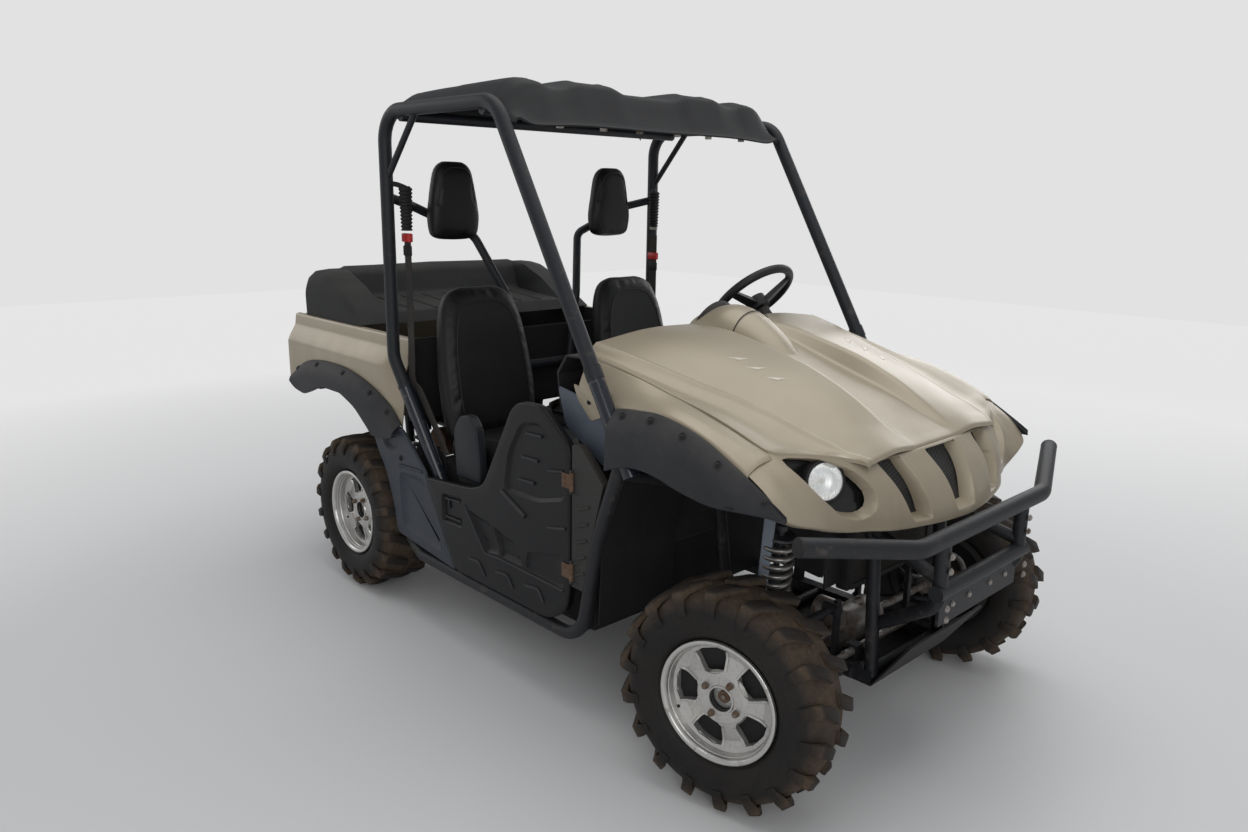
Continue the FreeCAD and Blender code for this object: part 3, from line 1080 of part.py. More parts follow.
# Cargo bed: a tub with a floor, a front wall and two side walls, carried on two hinge arms
bed_back = rear_axle - size.rear_overhang
tub_back = bed_back + size.tailgate_thick + 7
wall = size.bed_wall
tub_half = size.bed_half - 26
tub_top = size.bed_top - 2.2
tub = box((tub_back, -tub_half, size.bed_floor), (size.bed_front, tub_half, tub_top)).cut(
    box((tub_back - 1, -tub_half + wall, size.bed_floor + wall), (size.bed_front - wall, tub_half - wall, size.bed_top)))
bed_rib = [box((x, -tub_half + 20, size.bed_floor - 22), (x + 34, tub_half - 20, size.bed_floor + 1))
           for x in (size.bed_front - 90, rear_axle - 40, tub_back + 30)]
hinge_arm = joined(box((size.bed_pivot_x - 20, rail + 62, size.bed_pivot_z - 20), (size.bed_pivot_x + 20, rail + 74, size.bed_floor + 1)),
                   rod((size.bed_pivot_x, rail + 26, size.bed_pivot_z), (size.bed_pivot_x, rail + 72, size.bed_pivot_z), size.pivot_pin))
gate_pivot_x, gate_pivot_z, gate_pin = bed_back + 11, size.bed_floor + 11, 6
ear = box((gate_pivot_x - 7, tub_half - 6, size.bed_floor), (tub_back + 6, tub_half - 1, size.bed_floor + 24)).cut(
    rod((gate_pivot_x, tub_half - 20, gate_pivot_z), (gate_pivot_x, tub_half + 20, gate_pivot_z), gate_pin + size.fit))
node("cargo_bed", feature("cargo_bed", joined(tub, *bed_rib, *both_sides(hinge_arm, ear))))

# Bed sides: painted skins with a stepped rail, a bulged waist and the wheel arch cut away
# columns: forward of the rear axle, z of the lower edge, how far the waist tucks in past the rear posts
bed_long = size.bed_front - rear_axle
BED_SIDE = ((-566, 742, 0), (-470, 800, 0), (-330, 872, 0), (-182, 886, 0), (-30, 882, 0), (106, 858, 0),
            (bed_long - 135.5, 816, 2), (bed_long - 63.5, 786, 22), (bed_long + 8.5, 724, 26))
side_lines = []
for ahead, low_z, tuck in BED_SIDE:
    x = rear_axle + ahead
    side_lines.append([(x, size.bed_half - 24, size.bed_top), (x, size.bed_half, size.bed_top - 4),
                       (x, size.bed_half + 4, 992), (x, size.bed_half + 14 - 0.3 * tuck, 984),
                       (x, size.bed_half + 30 - 0.9 * tuck, 956), (x, size.body_half - tuck, 932),
                       (x, size.body_half - 0.5 * tuck, 0.4 * 932 + 0.6 * low_z), (x, size.body_half, low_z)])
bed_side = skin(side_lines, size.panel_wall, Vector(0, -1, -0.25))
pair("bed_sides", feature("bed_side", bed_side))

# Flares over the rear wheels, carried by the bed's sides
# columns: forward of the rear axle, z where it leaves the side, z of its lower lip
REAR_FLARE = ((-474, 816, 770), (-430, 850, 752), (-330, 880, 742), (-182, 892, 790), (-30, 888, 796),
              (106, 864, 752), (bed_long - 135.5, 822, 672), (bed_long - 63.5, 792, 676), (bed_long + 8.5, 732, 690))
rear_flare = skin(flare_lines(REAR_FLARE, rear_axle), size.panel_wall, Vector(0, -1, -0.2))
pair("rear_flares", feature("rear_flare", rear_flare))

# Tailgate: a ribbed panel hinged at its lower edge
gate = prism("tailgate_panel", (
    ("0", "0"), ("tailgate_thick", "0"), ("tailgate_thick", "bed_top - bed_floor - 14"),
    ("tailgate_thick - 10", "bed_top - bed_floor - 2"), ("0", "bed_top - bed_floor - 2")),
    "2 * (bed_half - 37)", symmetric=True)
gate.setExpression("Placement.Base.x", bind("rear_axle - rear_overhang"))
gate.setExpression("Placement.Base.z", bind("bed_floor"))
gate_pins = feature("gate_pins", Part.makeCompound(both_sides(rod(
    (gate_pivot_x, size.bed_half - 60, gate_pivot_z), (gate_pivot_x, tub_half - 1, gate_pivot_z), gate_pin))))
gate_whole = doc.addObject("Part::MultiFuse", "gate_whole")
gate_whole.Shapes = [gate, gate_pins]
node("tailgate", gate_whole)

# Bench across the bed's rails: a moulded seat whose back wraps round both ends and slopes down to the front
bench_back, bench_long = bed_back + 94, 478
bench_low = size.bed_top + size.fit
# columns: share of the bench's length and height above the rails, from the back's foot over the top to the front
WING = ((0, 0), (-0.01, 120), (0.03, 176), (0.12, 194), (0.32, 176), (0.60, 122), (0.88, 42), (1, 0))
MIDDLE = ((0, 0), (-0.01, 134), (0.03, 192), (0.12, 206), (0.23, 178), (0.28, 66), (0.92, 44), (1, 0))
# columns: share of the half width, how far the top sinks, outline
BENCH_SECTIONS = ((1, 0.82, WING), (0.955, 0.97, WING), (0.86, 1, WING), (0.74, 1, MIDDLE), (0, 1.02, MIDDLE))
bench_half = size.bed_half - 12
bench_rings = []
for share, tall, profile in BENCH_SECTIONS:
    bench_rings.append([Vector(bench_back + bench_long * along, share * bench_half, bench_low + tall * up)
                        for along, up in profile])
bench_rings += [[Vector(spot.x, -spot.y, spot.z) for spot in ring] for ring in reversed(bench_rings[:-1])]
node("bed_bench", feature("bed_bench", faceted(bench_rings)))

# Tail lamps at the bed's rear corners
lamp = box((bed_back + 6, tub_half + size.fit, 800), (bed_back + 60, tub_half + 50, 900))
pair("tail_lamps", feature("tail_lamp", lamp))

doc.recompute()
for item in doc.Objects:
    if {"Invalid", "Error"} & set(item.State):
        raise RuntimeError(f"{item.Label} failed: {item.State}")
for name, item in nodes.items():
    if item.Shape.isNull() or not item.Shape.isValid():
        raise RuntimeError(f"{name} has no valid shape")

os.makedirs("parts", exist_ok=True)
for name, item in nodes.items():
    item.Shape.exportStep(f"parts/{name}.step")
    print(name, len(item.Shape.Solids), round(item.Shape.Volume / 1000), "cm3")
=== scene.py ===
import json
import math

import bmesh
import bpy
from mathutils import Matrix, Vector
from mathutils.bvhtree import BVHTree


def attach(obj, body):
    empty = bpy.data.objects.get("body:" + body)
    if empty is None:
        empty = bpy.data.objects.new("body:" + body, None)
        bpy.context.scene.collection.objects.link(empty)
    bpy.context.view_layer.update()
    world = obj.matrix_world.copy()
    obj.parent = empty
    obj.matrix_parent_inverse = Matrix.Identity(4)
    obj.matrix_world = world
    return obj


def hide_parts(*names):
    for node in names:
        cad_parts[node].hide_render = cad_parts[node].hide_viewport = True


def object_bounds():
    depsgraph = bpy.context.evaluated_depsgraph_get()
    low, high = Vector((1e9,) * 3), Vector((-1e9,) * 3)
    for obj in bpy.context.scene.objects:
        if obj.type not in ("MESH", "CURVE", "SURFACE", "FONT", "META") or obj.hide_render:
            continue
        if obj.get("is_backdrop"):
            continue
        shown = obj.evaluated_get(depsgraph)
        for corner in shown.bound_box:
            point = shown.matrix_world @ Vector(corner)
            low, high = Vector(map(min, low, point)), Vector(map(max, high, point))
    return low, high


# Side by side utility vehicle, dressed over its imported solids.
# Metres; X forward, Y to the vehicle's left, Z up from the floor.

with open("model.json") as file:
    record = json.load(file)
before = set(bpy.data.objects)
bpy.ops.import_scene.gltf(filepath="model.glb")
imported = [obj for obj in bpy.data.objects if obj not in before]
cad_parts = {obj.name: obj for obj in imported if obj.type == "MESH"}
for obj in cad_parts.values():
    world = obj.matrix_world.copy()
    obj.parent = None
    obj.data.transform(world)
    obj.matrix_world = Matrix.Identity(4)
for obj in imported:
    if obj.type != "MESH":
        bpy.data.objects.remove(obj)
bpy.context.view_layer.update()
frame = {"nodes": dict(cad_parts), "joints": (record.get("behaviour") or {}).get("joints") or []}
NODES = frame["nodes"]
UP = Vector((0, 0, 1))
MM = 0.001


# Finishes

class Value:
    """A shader number that adds, multiplies and mixes as an expression."""

    def __init__(self, finish, socket):
        self.finish = finish
        self.socket = socket

    def math(self, operation, *others):
        """The result of a Math node on this value and others."""
        return self.finish.add("ShaderNodeMath", {"operation": operation}, [self, *others])

    def __add__(self, other):
        return self.math("ADD", other)

    __radd__ = __add__

    def __sub__(self, other):
        return self.math("SUBTRACT", other)

    def __rsub__(self, other):
        return self.finish.add("ShaderNodeMath", {"operation": "SUBTRACT"}, [other, self])

    def __mul__(self, other):
        return self.math("MULTIPLY", other)

    __rmul__ = __mul__

    def __pow__(self, other):
        return self.math("POWER", other)

    def clipped(self):
        """The value held between 0 and 1."""
        return self.math("MINIMUM", 1.0).math("MAXIMUM", 0.0)

    def waves(self, per_metre):
        """Swings between 0 and 1 along a distance."""
        return (self * per_metre).math("SINE") * 0.5 + 0.5

    def above(self, edge, soft):
        """Rises from 0 to 1 where the value passes an edge."""
        return ((self - (edge - soft / 2)) * (1 / soft)).clipped()


class Finish:
    """A procedural material of one principled shader."""

    def __init__(self, name, color, roughness=0.5, metallic=0.0, **sockets):
        self.material = bpy.data.materials.new(name)
        self.material.use_nodes = True
        self.tree = self.material.node_tree
        self.tree.nodes.clear()
        self.output = self.tree.nodes.new("ShaderNodeOutputMaterial")
        self.shader = self.tree.nodes.new("ShaderNodeBsdfPrincipled")
        self.tree.links.new(self.shader.outputs[0], self.output.inputs[0])
        self.shader.inputs["Base Color"].default_value = (*color, 1)
        self.shader.inputs["Roughness"].default_value = roughness
        self.shader.inputs["Metallic"].default_value = metallic
        for socket, value in sockets.items():
            self.shader.inputs[socket.replace("_", " ")].default_value = value
        self.place = self.add("ShaderNodeTexCoord", {}, [], "Object")
        self.slot = "black_plastic"
        self.raised = None

    def add(self, kind, settings, values, out=0):
        """Any node: its type, its settings, then its inputs as numbers or Values, in order or by name."""
        node = self.tree.nodes.new(kind)
        for key, value in settings.items():
            setattr(node, key, value)
        pairs = values.items() if isinstance(values, dict) else enumerate(values)
        for key, value in pairs:
            if isinstance(value, Value):
                self.tree.links.new(value.socket, node.inputs[key])
            else:
                node.inputs[key].default_value = value
        return Value(self, node.outputs[out])

    def noise(self, scale, detail=3.0, roughness=0.5, stretch=(1, 1, 1)):
        """Cloudy pattern between 0 and 1."""
        spot = self.add("ShaderNodeMapping", {}, {"Vector": self.place, "Scale": stretch})
        inputs = {"Vector": spot, "Scale": scale, "Detail": detail, "Roughness": roughness}
        return self.add("ShaderNodeTexNoise", {}, inputs)

    def cells(self, scale, feature="F1"):
        """Distance to scattered points."""
        return self.add("ShaderNodeTexVoronoi", {"feature": feature}, {"Vector": self.place, "Scale": scale})

    def along(self, axis):
        """Distance along X, Y or Z in metres, from the floor under the vehicle's middle."""
        return self.add("ShaderNodeSeparateXYZ", {}, [self.place], axis)

    def about_axle(self, centre, axis):
        """Distances from a wheel's centre along its axle, and out from the axle, in metres."""
        off = self.add("ShaderNodeVectorMath", {"operation": "SUBTRACT"}, [self.place, centre])
        side = self.add("ShaderNodeVectorMath", {"operation": "DOT_PRODUCT"}, [off, axis], 1)
        reach = self.add("ShaderNodeVectorMath", {"operation": "LENGTH"}, [off], 1)
        return side, (reach * reach - side * side) ** 0.5

    def facing_up(self):
        """1 on a face that looks up, 0 on one that looks down."""
        normal = self.add("ShaderNodeNewGeometry", {}, [], "Normal")
        return self.add("ShaderNodeSeparateXYZ", {}, [normal], 2)

    def mix(self, share, first, second):
        """A colour between two, by a share."""
        values = {0: share}
        for key, tone in ((6, first), (7, second)):
            values[key] = tone if isinstance(tone, Value) else (*tone[:3], 1)
        return self.add("ShaderNodeMix", {"data_type": "RGBA"}, values, 2)

    def feed(self, socket, value):
        """Link a value to one of the shader's sockets."""
        self.tree.links.new(value.socket, self.shader.inputs[socket])

    def bump(self, value, depth, strength=1.0):
        """Raise the surface by a value, in metres."""
        values = {"Strength": strength, "Distance": depth, "Height": value}
        if self.raised:
            values["Normal"] = self.raised
        self.raised = self.add("ShaderNodeBump", {}, values, "Normal")
        self.feed("Normal", self.raised)


# Roughness above which a plastic or a paint has the weaker shine of a worn one
SATIN = 0.3


def fuller(value):
    """A noise value stretched to use more of its range."""
    return ((value - 0.5) * 2.2 + 0.5).clipped()


def body_paint():
    """Pale metallic paint with streaks of dust low on the panels."""
    tone = Finish("champagne paint", (0.31, 0.262, 0.188), 0.42, 0.30, Coat_Weight=0.22, Coat_Roughness=0.20)
    flake = tone.cells(2400)
    haze = tone.noise(3.0, 4)
    streaks = fuller(tone.noise(9, 5, 0.6, (1, 1, 0.35)))
    low = (1.0 - (tone.along(2) - 0.72) * 3.2).clipped()
    dust = (streaks * (low * 0.6 + 0.14)).clipped()
    base = tone.mix(haze * 0.5, (0.335, 0.283, 0.203), (0.282, 0.238, 0.169))
    base = tone.mix(flake * 0.22, base, (0.46, 0.405, 0.31))
    tone.feed("Base Color", tone.mix(dust * 0.5, base, (0.19, 0.155, 0.115)))
    tone.feed("Roughness", dust * 0.35 + 0.36 + haze * 0.08)
    tone.bump(tone.noise(1.6, 2), 0.0012, 0.4)
    return tone


def moulded_black(name, color, grain=0.00035, rough=0.58, dust_color=(0.13, 0.115, 0.095), dust=0.4,
                  scale=520):
    """Dark moulded plastic with a fine grain, scuffs and settled dust."""
    tone = Finish(name, color, rough, Specular_IOR_Level=0.28 if rough > SATIN else 0.5)
    grit = tone.noise(scale, 2)
    cloud = fuller(tone.noise(5.5, 6, 0.62))
    scuff = fuller(tone.noise(26, 4, 0.7, (0.5, 1, 1))).above(0.78, 0.3)
    top = (tone.facing_up() * 0.8 + 0.1).clipped()
    settled = (cloud * top * dust + scuff * 0.10).clipped()
    base = tone.mix(cloud * 0.5, color, [part * 1.8 for part in color])
    tone.feed("Base Color", tone.mix(settled, base, dust_color))
    tone.feed("Roughness", settled * 0.3 + rough + grit * 0.08)
    tone.bump(grit, grain)
    return tone


def tube_paint(name, color, rough, grain):
    """Sprayed paint on steel tube, worn dusty in patches."""
    tone = Finish(name, color, rough, Specular_IOR_Level=0.35 if rough > SATIN else 0.5)
    grit = tone.noise(620, 3)
    worn = fuller(tone.noise(18, 5, 0.7)).above(0.80, 0.22)
    base = tone.mix(tone.noise(4, 4), color, [part * 1.7 for part in color])
    tone.feed("Base Color", tone.mix(worn * 0.35, base, (0.12, 0.10, 0.085)))
    tone.feed("Roughness", grit * 0.2 + (rough - 0.08) + worn * 0.2)
    tone.bump(grit, grain)
    return tone


def vinyl(name, color=(0.0040, 0.0042, 0.0045)):
    """Dark grained vinyl or rubber, a little dusty on top."""
    tone = Finish(name, color, 0.46, Specular_IOR_Level=0.32)
    grain = tone.cells(620, "SMOOTH_F1")
    folds = tone.noise(14, 3)
    dust = fuller(tone.noise(7, 5, 0.6)) * (tone.facing_up() * 0.7 + 0.15).clipped()
    tone.feed("Base Color", tone.mix(dust * 0.20, color, (0.075, 0.068, 0.060)))
    tone.feed("Roughness", grain * 0.1 + 0.40 + dust * 0.2)
    tone.bump(grain, 0.0004, 0.6)
    tone.bump(folds, 0.0016, 0.5)
    return tone


def finned():
    """Thin upright fins of a cooler."""
    tone = Finish("cooler fins", (0.020, 0.020, 0.020), 0.6, 0.3, Specular_IOR_Level=0.3)
    fins = tone.along(1).waves(1700)
    dirt = fuller(tone.noise(20, 4))
    tone.feed("Base Color", tone.mix(dirt * 0.5, (0.014, 0.014, 0.014), (0.060, 0.048, 0.036)))
    tone.bump(fins, 0.003)
    return tone


def webbing(name, color):
    """Woven belt with a diagonal weave."""
    tone = Finish(name, color, 0.85, Specular_IOR_Level=0.3)
    bands = {"wave_type": "BANDS", "bands_direction": "DIAGONAL"}
    inputs = {"Vector": tone.place, "Scale": 170.0, "Distortion": 0.4}
    weave = tone.add("ShaderNodeTexWave", bands, inputs, 1)
    dirt = fuller(tone.noise(12, 4))
    tone.feed("Base Color", tone.mix(dirt * 0.4, color, (0.10, 0.085, 0.068)))
    tone.bump(weave, 0.0006)
    return tone


def tyre_rubber(name, centre, axis, half):
    """Rubber with dried mud low in the tread; centre, axis and half width are the tyre's."""
    tone = Finish(name, (0.010, 0.010, 0.010), 0.72, Specular_IOR_Level=0.3)
    tone.slot = "tyre_rubber"
    side, radius = tone.about_axle(centre, axis)
    cloud = fuller(tone.noise(9, 6, 0.62))
    fine = fuller(tone.noise(60, 5, 0.7))
    tread = ((radius - 0.250) * 30).clipped()
    crest = ((radius - 0.2955) * 140).clipped()
    flank = ((side.math("ABSOLUTE") - (half - 0.010)) * 150).clipped() * ((radius - 0.250) * 60).clipped()
    bare = crest.math("MAXIMUM", flank * 0.75)
    mud = (tread * (cloud * 0.9 + 0.38) * (1.0 - bare * 0.86) + cloud * 0.10).clipped()
    base = tone.mix(fine * 0.5, (0.0065, 0.006, 0.006), (0.016, 0.014, 0.013))
    earth = tone.mix(fine, (0.050, 0.034, 0.022), (0.098, 0.070, 0.047))
    tone.feed("Base Color", tone.mix(mud, base, earth))
    tone.feed("Roughness", mud * 0.22 + 0.62)
    ring = ((radius - 0.205) * 900).math("SINE") * (1.0 - tread) * 0.12
    tone.bump(fine * mud + ring, 0.0022)
    return tone


def cast_wheel(name, centre, axis):
    """Cast aluminium: bright machined faces, dull dirty patches, and painted shade that darkens the inner
    barrel; the axis points outward.
    """
    tone = Finish(name, (0.55, 0.54, 0.52), 0.33, 0.85)
    side, radius = tone.about_axle(centre, axis)
    lathe = (radius * 5200).math("SINE")
    cloud = fuller(tone.noise(16, 5, 0.6))
    spots = fuller(tone.noise(120, 4, 0.7)).above(0.72, 0.2)
    # Painted shade: the inner mask darkens everything inboard of the disc's face towards black, and the dirt
    # mask carries this shade as well as real dirt
    inner = ((0.033 - side) * 90).clipped()
    dirt = (cloud * 0.28 + spots * 0.22 + inner).clipped()
    face = tone.mix(dirt * 0.7, (0.60, 0.59, 0.57), (0.125, 0.100, 0.078))
    tone.feed("Base Color", tone.mix(inner, face, (0.016, 0.014, 0.012)))
    tone.feed("Metallic", 0.9 - dirt * 0.85)
    tone.feed("Roughness", dirt * 0.40 + 0.33)
    tone.bump(lathe, 0.00006, 0.4)
    tone.bump(spots, 0.0004)
    return tone


def bare_metal(name, color, rough, rust, metallic=0.8):
    """Bare or cast metal with patches of pitted rust, more of them with a greater share."""
    tone = Finish(name, color, rough, metallic)
    cloud = fuller(tone.noise(22, 6, 0.65))
    patch = cloud.above(1.0 - rust, 0.35)
    pits = tone.noise(240, 4, 0.7)
    brown = tone.mix(pits, (0.075, 0.042, 0.026), (0.15, 0.090, 0.056))
    tone.feed("Base Color", tone.mix(patch, color, brown))
    tone.feed("Metallic", metallic - patch * metallic * 0.9)
    tone.feed("Roughness", patch * 0.4 + rough)
    tone.bump(pits * patch, 0.0006)
    return tone


def fluted_glass():
    """Clear lamp glass with upright flutes, cloudy with age."""
    tone = Finish("lamp glass", (0.90, 0.92, 0.93), 0.10, 0.0, Alpha=0.2, Coat_Weight=1.0,
                  Coat_Roughness=0.03)
    flutes = tone.along(1).waves(620)
    haze = fuller(tone.noise(28, 4))
    tone.feed("Alpha", flutes * 0.12 + haze * 0.16 + 0.12)
    tone.bump(flutes, 0.0012)
    return tone


def screen():
    """Fine pressed mesh: dull metal round rows of openings painted near black as painted shade."""
    tone = Finish("grille screen", (0.012, 0.012, 0.013), 0.5)
    over = (tone.along(1) * 520).math("SINE")
    up = ((tone.along(2) * 3.1 + tone.along(1)) * 260).math("SINE")
    wires = (over * up).above(-0.12, 0.30)
    # The openings are painted near black: painted shade for the dark seen through them
    tone.feed("Base Color", tone.mix(wires, (0.001, 0.001, 0.001), (0.036, 0.036, 0.038)))
    tone.bump(wires, 0.002)
    return tone


def paint(node, finish):
    """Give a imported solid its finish."""
    item = NODES[node]
    item.data.materials.clear()
    item.data.materials.append(finish.material)


PAINT = body_paint()
SCREEN = screen()
FINS = finned()
ROOF = moulded_black("roof plastic", (0.0085, 0.009, 0.010), 0.0005, 0.55, (0.048, 0.047, 0.046), 0.32, 420)
FLARE = moulded_black("flare plastic", (0.017, 0.018, 0.021), 0.0004, 0.54, (0.125, 0.115, 0.104), 0.50)
DOOR = moulded_black("door plastic", (0.0034, 0.0036, 0.0046), 0.0002, 0.40, (0.060, 0.053, 0.044), 0.16)
BLACK = moulded_black("black plastic", (0.010, 0.010, 0.011), dust_color=(0.085, 0.075, 0.062), dust=0.3)
DASH = moulded_black("dash plastic", (0.012, 0.012, 0.013), 0.0003, 0.6)
BENCH = moulded_black("bench plastic", (0.010, 0.0105, 0.011), 0.0006, 0.62, (0.075, 0.069, 0.058),
                      0.42, 380)
GREY = moulded_black("grey plastic", (0.030, 0.035, 0.045), 0.0002, 0.46, (0.11, 0.10, 0.09), 0.28)
GLOSS = moulded_black("gloss black", (0.008, 0.008, 0.009), 0.00005, 0.14, (0.10, 0.09, 0.075), 0.10)
CAGE = tube_paint("cage paint", (0.0085, 0.0095, 0.012), 0.50, 0.0003)
POST = tube_paint("glossy post paint", (0.010, 0.012, 0.018), 0.18, 0.00008)
FRAME_TUBES = tube_paint("frame paint", (0.010, 0.0105, 0.012), 0.5, 0.0004)
VINYL = vinyl("seat vinyl")
REST = vinyl("head rest skin", (0.0040, 0.0040, 0.0042))
BELT = webbing("belt webbing", (0.030, 0.028, 0.028))
WHITE_BAND = webbing("belt band", (0.50, 0.47, 0.42))
STEEL = bare_metal("steel", (0.33, 0.31, 0.29), 0.42, 0.38)
NUT = bare_metal("nut steel", (0.22, 0.185, 0.15), 0.5, 0.45, 0.6)
RUSTY = bare_metal("rusty steel", (0.15, 0.105, 0.075), 0.6, 0.75, 0.4)
CAST = bare_metal("engine casting", (0.30, 0.29, 0.28), 0.5, 0.30, 0.7)
BRACKET = tube_paint("grey bracket paint", (0.13, 0.15, 0.18), 0.45, 0.0003)
COIL = bare_metal("spring steel", (0.24, 0.23, 0.22), 0.28, 0.14, 0.8)
# The lamp reflector glows faintly though the lamp is not lit: a painted reflection
REFLECTOR_WITH_PAINTED_GLOW = Finish("lamp reflector with painted glow", (0.92, 0.92, 0.90), 0.30, 1.0, Emission_Color=(0.86, 0.88, 0.90, 1),
                Emission_Strength=0.14)
LENS = fluted_glass()
RED_LENS = Finish("red lens", (0.42, 0.012, 0.012), 0.12, 0.0, Coat_Weight=0.6)
RED_CLIP = Finish("red clip", (0.45, 0.02, 0.02), 0.4)
HIP = moulded_black("hip guard plastic", (0.010, 0.0115, 0.015), 0.0002, 0.42, (0.085, 0.080, 0.074), 0.25)
GRIP = vinyl("grip rubber", (0.014, 0.014, 0.015))
# Pale paint of the hood's louvres: a painted highlight where they catch the light
HIGHLIGHT_PAINT = Finish("painted highlight paint", (0.66, 0.61, 0.52), 0.4, 0.2)
BULB = Finish("lamp bulb", (0.80, 0.78, 0.72), 0.15)
POLISHED = bare_metal("polished rim", (0.58, 0.57, 0.55), 0.33, 0.16, 0.88)
# The door's bars are a paler plastic than its face
PALER_BAR_PLASTIC = moulded_black("paler bar plastic", (0.022, 0.023, 0.026), 0.0002, 0.45, (0.11, 0.10, 0.085),
                          0.38)
HINGE_PANEL = moulded_black("brown-grey plastic", (0.024, 0.023, 0.022), 0.0003, 0.55, (0.085, 0.070, 0.055),
                            0.4)
KICK = moulded_black("blue-grey plastic", (0.070, 0.082, 0.105), 0.0002, 0.5, (0.13, 0.12, 0.11), 0.3)
BELLOWS = moulded_black("bellows rubber", (0.011, 0.011, 0.012), 0.0001, 0.5)
DAMPER = tube_paint("damper paint", (0.030, 0.030, 0.034), 0.4, 0.0002)

# The record's material slot of each finish that is not black plastic
for slot, finishes in {
    "body_paint": (PAINT, HIGHLIGHT_PAINT), "gloss_black": (GLOSS,), "grey_plastic": (GREY, KICK, HINGE_PANEL),
    "soft_black": (GRIP,), "seat_vinyl": (VINYL, REST), "belt_webbing": (BELT, WHITE_BAND),
    "bench_plastic": (BENCH,), "frame_paint": (FRAME_TUBES, BRACKET), "tail_lens": (RED_LENS,),
    "cage_paint": (CAGE, POST, COIL, DAMPER), "bare_steel": (STEEL, NUT, RUSTY), "cast_wheel": (POLISHED,),
    "lamp_lens": (REFLECTOR_WITH_PAINTED_GLOW, LENS, BULB),
}.items():
    for finish in finishes:
        finish.slot = slot

# Solids that stay in view take a finish; the others are replaced by pieces further on
for finish, nodes in (
        (FRAME_TUBES, ("main_frame", "front_arms", "rear_arms", "front_bumper")),
        (BLACK, ("floor_pan", "skid_plate", "wheel_liners", "seat_base", "cargo_bed")),
        (DASH, ("steering_column", "dash_panel")), (STEEL, ("drive_line", "steering_rack")),
        (RUSTY, ("muffler", "knuckle_left", "knuckle_right")), (CAGE, ("roll_cage",)),
        (GRIP, ("steering_wheel",)), (HINGE_PANEL, ("hinge_panels",)), (CAST, ("engine_block",))):
    for node in nodes:
        paint(node, finish)

# Each wheel's centre and the way its outer face looks, from the record's joints
WHEELS = {}
for joint in frame["joints"]:
    if joint["name"].endswith("_spin"):
        centre, axis = Vector(joint["pos_m"]), Vector(joint["axis"]).normalized()
        WHEELS[joint["child"]] = (centre, axis if axis.y * centre.y > 0 else -axis)
for body, (centre, axis) in WHEELS.items():
    end, hand = body.split("_")[:2]
    paint(f"{end}_rim_{hand}", cast_wheel(f"{end} {hand} rim", centre, axis))


# Shapes, drawn in millimetres in the vehicle's frame; they become metres with the piece

# Thickness of the painted skins, and distance under which points become one
WALL = 4
MERGE = 0.01
OUTWARD = Vector((0, 1, 0))
AHEAD = Vector((1, 0, 0))


def piece(name, bm, finish, body="chassis", stands_for=(), crease=32):
    """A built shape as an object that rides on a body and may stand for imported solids."""
    bmesh.ops.scale(bm, vec=(MM, MM, MM), verts=bm.verts)
    mesh = bpy.data.meshes.new(name)
    bm.to_mesh(mesh)
    bm.free()
    mesh.shade_smooth()
    mesh.set_sharp_from_angle(angle=math.radians(crease))
    mesh.materials.append(finish.material)
    item = bpy.data.objects.new(name, mesh)
    bpy.context.scene.collection.objects.link(item)
    if stands_for:
        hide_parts(*stands_for)
    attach(item, body)
    return item


def eased(line, radius, steps=3, closed=False):
    """A line whose corners are rounded, by one radius or one for each corner."""
    line = [Vector(spot) for spot in line]
    corners = list(zip(line, line[1:], line[2:]))
    if closed:
        corners = list(zip(line[-1:] + line[:-1], line, line[1:] + line[:1]))
    radii = radius if isinstance(radius, (list, tuple)) else [radius] * len(corners)
    out = [] if closed else [line[0]]
    for (before, corner, after), round_by in zip(corners, radii):
        back, ahead = before - corner, after - corner
        start = corner + back.normalized() * min(round_by, 0.46 * back.length)
        end = corner + ahead.normalized() * min(round_by, 0.46 * ahead.length)
        for number in range(steps + 1):
            t = number / steps
            out.append(start * (1 - t) ** 2 + corner * (2 * t * (1 - t)) + end * t ** 2)
    return out if closed else out + [line[-1]]


def through(rows, dense):
    """More rows, on smooth curves through the given ones."""
    out = []
    for number in range(len(rows) - 1):
        four = (rows[max(number - 1, 0)], rows[number], rows[number + 1],
                rows[min(number + 2, len(rows) - 1)])
        for step in range(dense):
            t = step / dense
            out.append([0.5 * (2 * b + (c - a) * t + (2 * a - 5 * b + 4 * c - d) * t ** 2
                               + (3 * b - a - 3 * c + d) * t ** 3) for a, b, c, d in zip(*four)])
    return out + [rows[-1]]


def across(half):
    """A line over the full width, from its left half."""
    half = [Vector(spot) for spot in half]
    return [Vector((x, -y, z)) for x, y, z in reversed(half) if y > 0.01] + half


def sheet(rows, outward):
    """A surface through rows of points, its front towards a direction."""
    bm = bmesh.new()
    bmesh.ops.create_grid(bm, x_segments=len(rows[0]) - 1, y_segments=len(rows) - 1, size=1)
    for vertex, spot in zip(bm.verts, (spot for row in rows for spot in row)):
        vertex.co = spot
    bm.normal_update()
    if sum((face.normal * face.calc_area() for face in bm.faces), Vector()).dot(outward) < 0:
        bmesh.ops.reverse_faces(bm, faces=bm.faces)
    return bm


def thick(bm, wall):
    """Give a surface a wall on its back."""
    bmesh.ops.dissolve_degenerate(bm, dist=0.3, edges=bm.edges)
    bm.normal_update()
    bmesh.ops.solidify(bm, geom=bm.faces[:], thickness=wall)
    return bm


def skin(rows, dense, outward, wall=WALL):
    """A wall over smooth curves through rows of points."""
    return thick(sheet(through(rows, dense), outward), wall)


def hull(rings):
    """A closed body over rows of rings with the same number of points."""
    bm = sheet([list(ring) + [ring[0]] for ring in rings], UP)
    bmesh.ops.remove_doubles(bm, verts=bm.verts, dist=MERGE)
    bmesh.ops.holes_fill(bm, edges=[edge for edge in bm.edges if edge.is_boundary], sides=0)
    bmesh.ops.recalc_face_normals(bm, faces=bm.faces)
    return bm


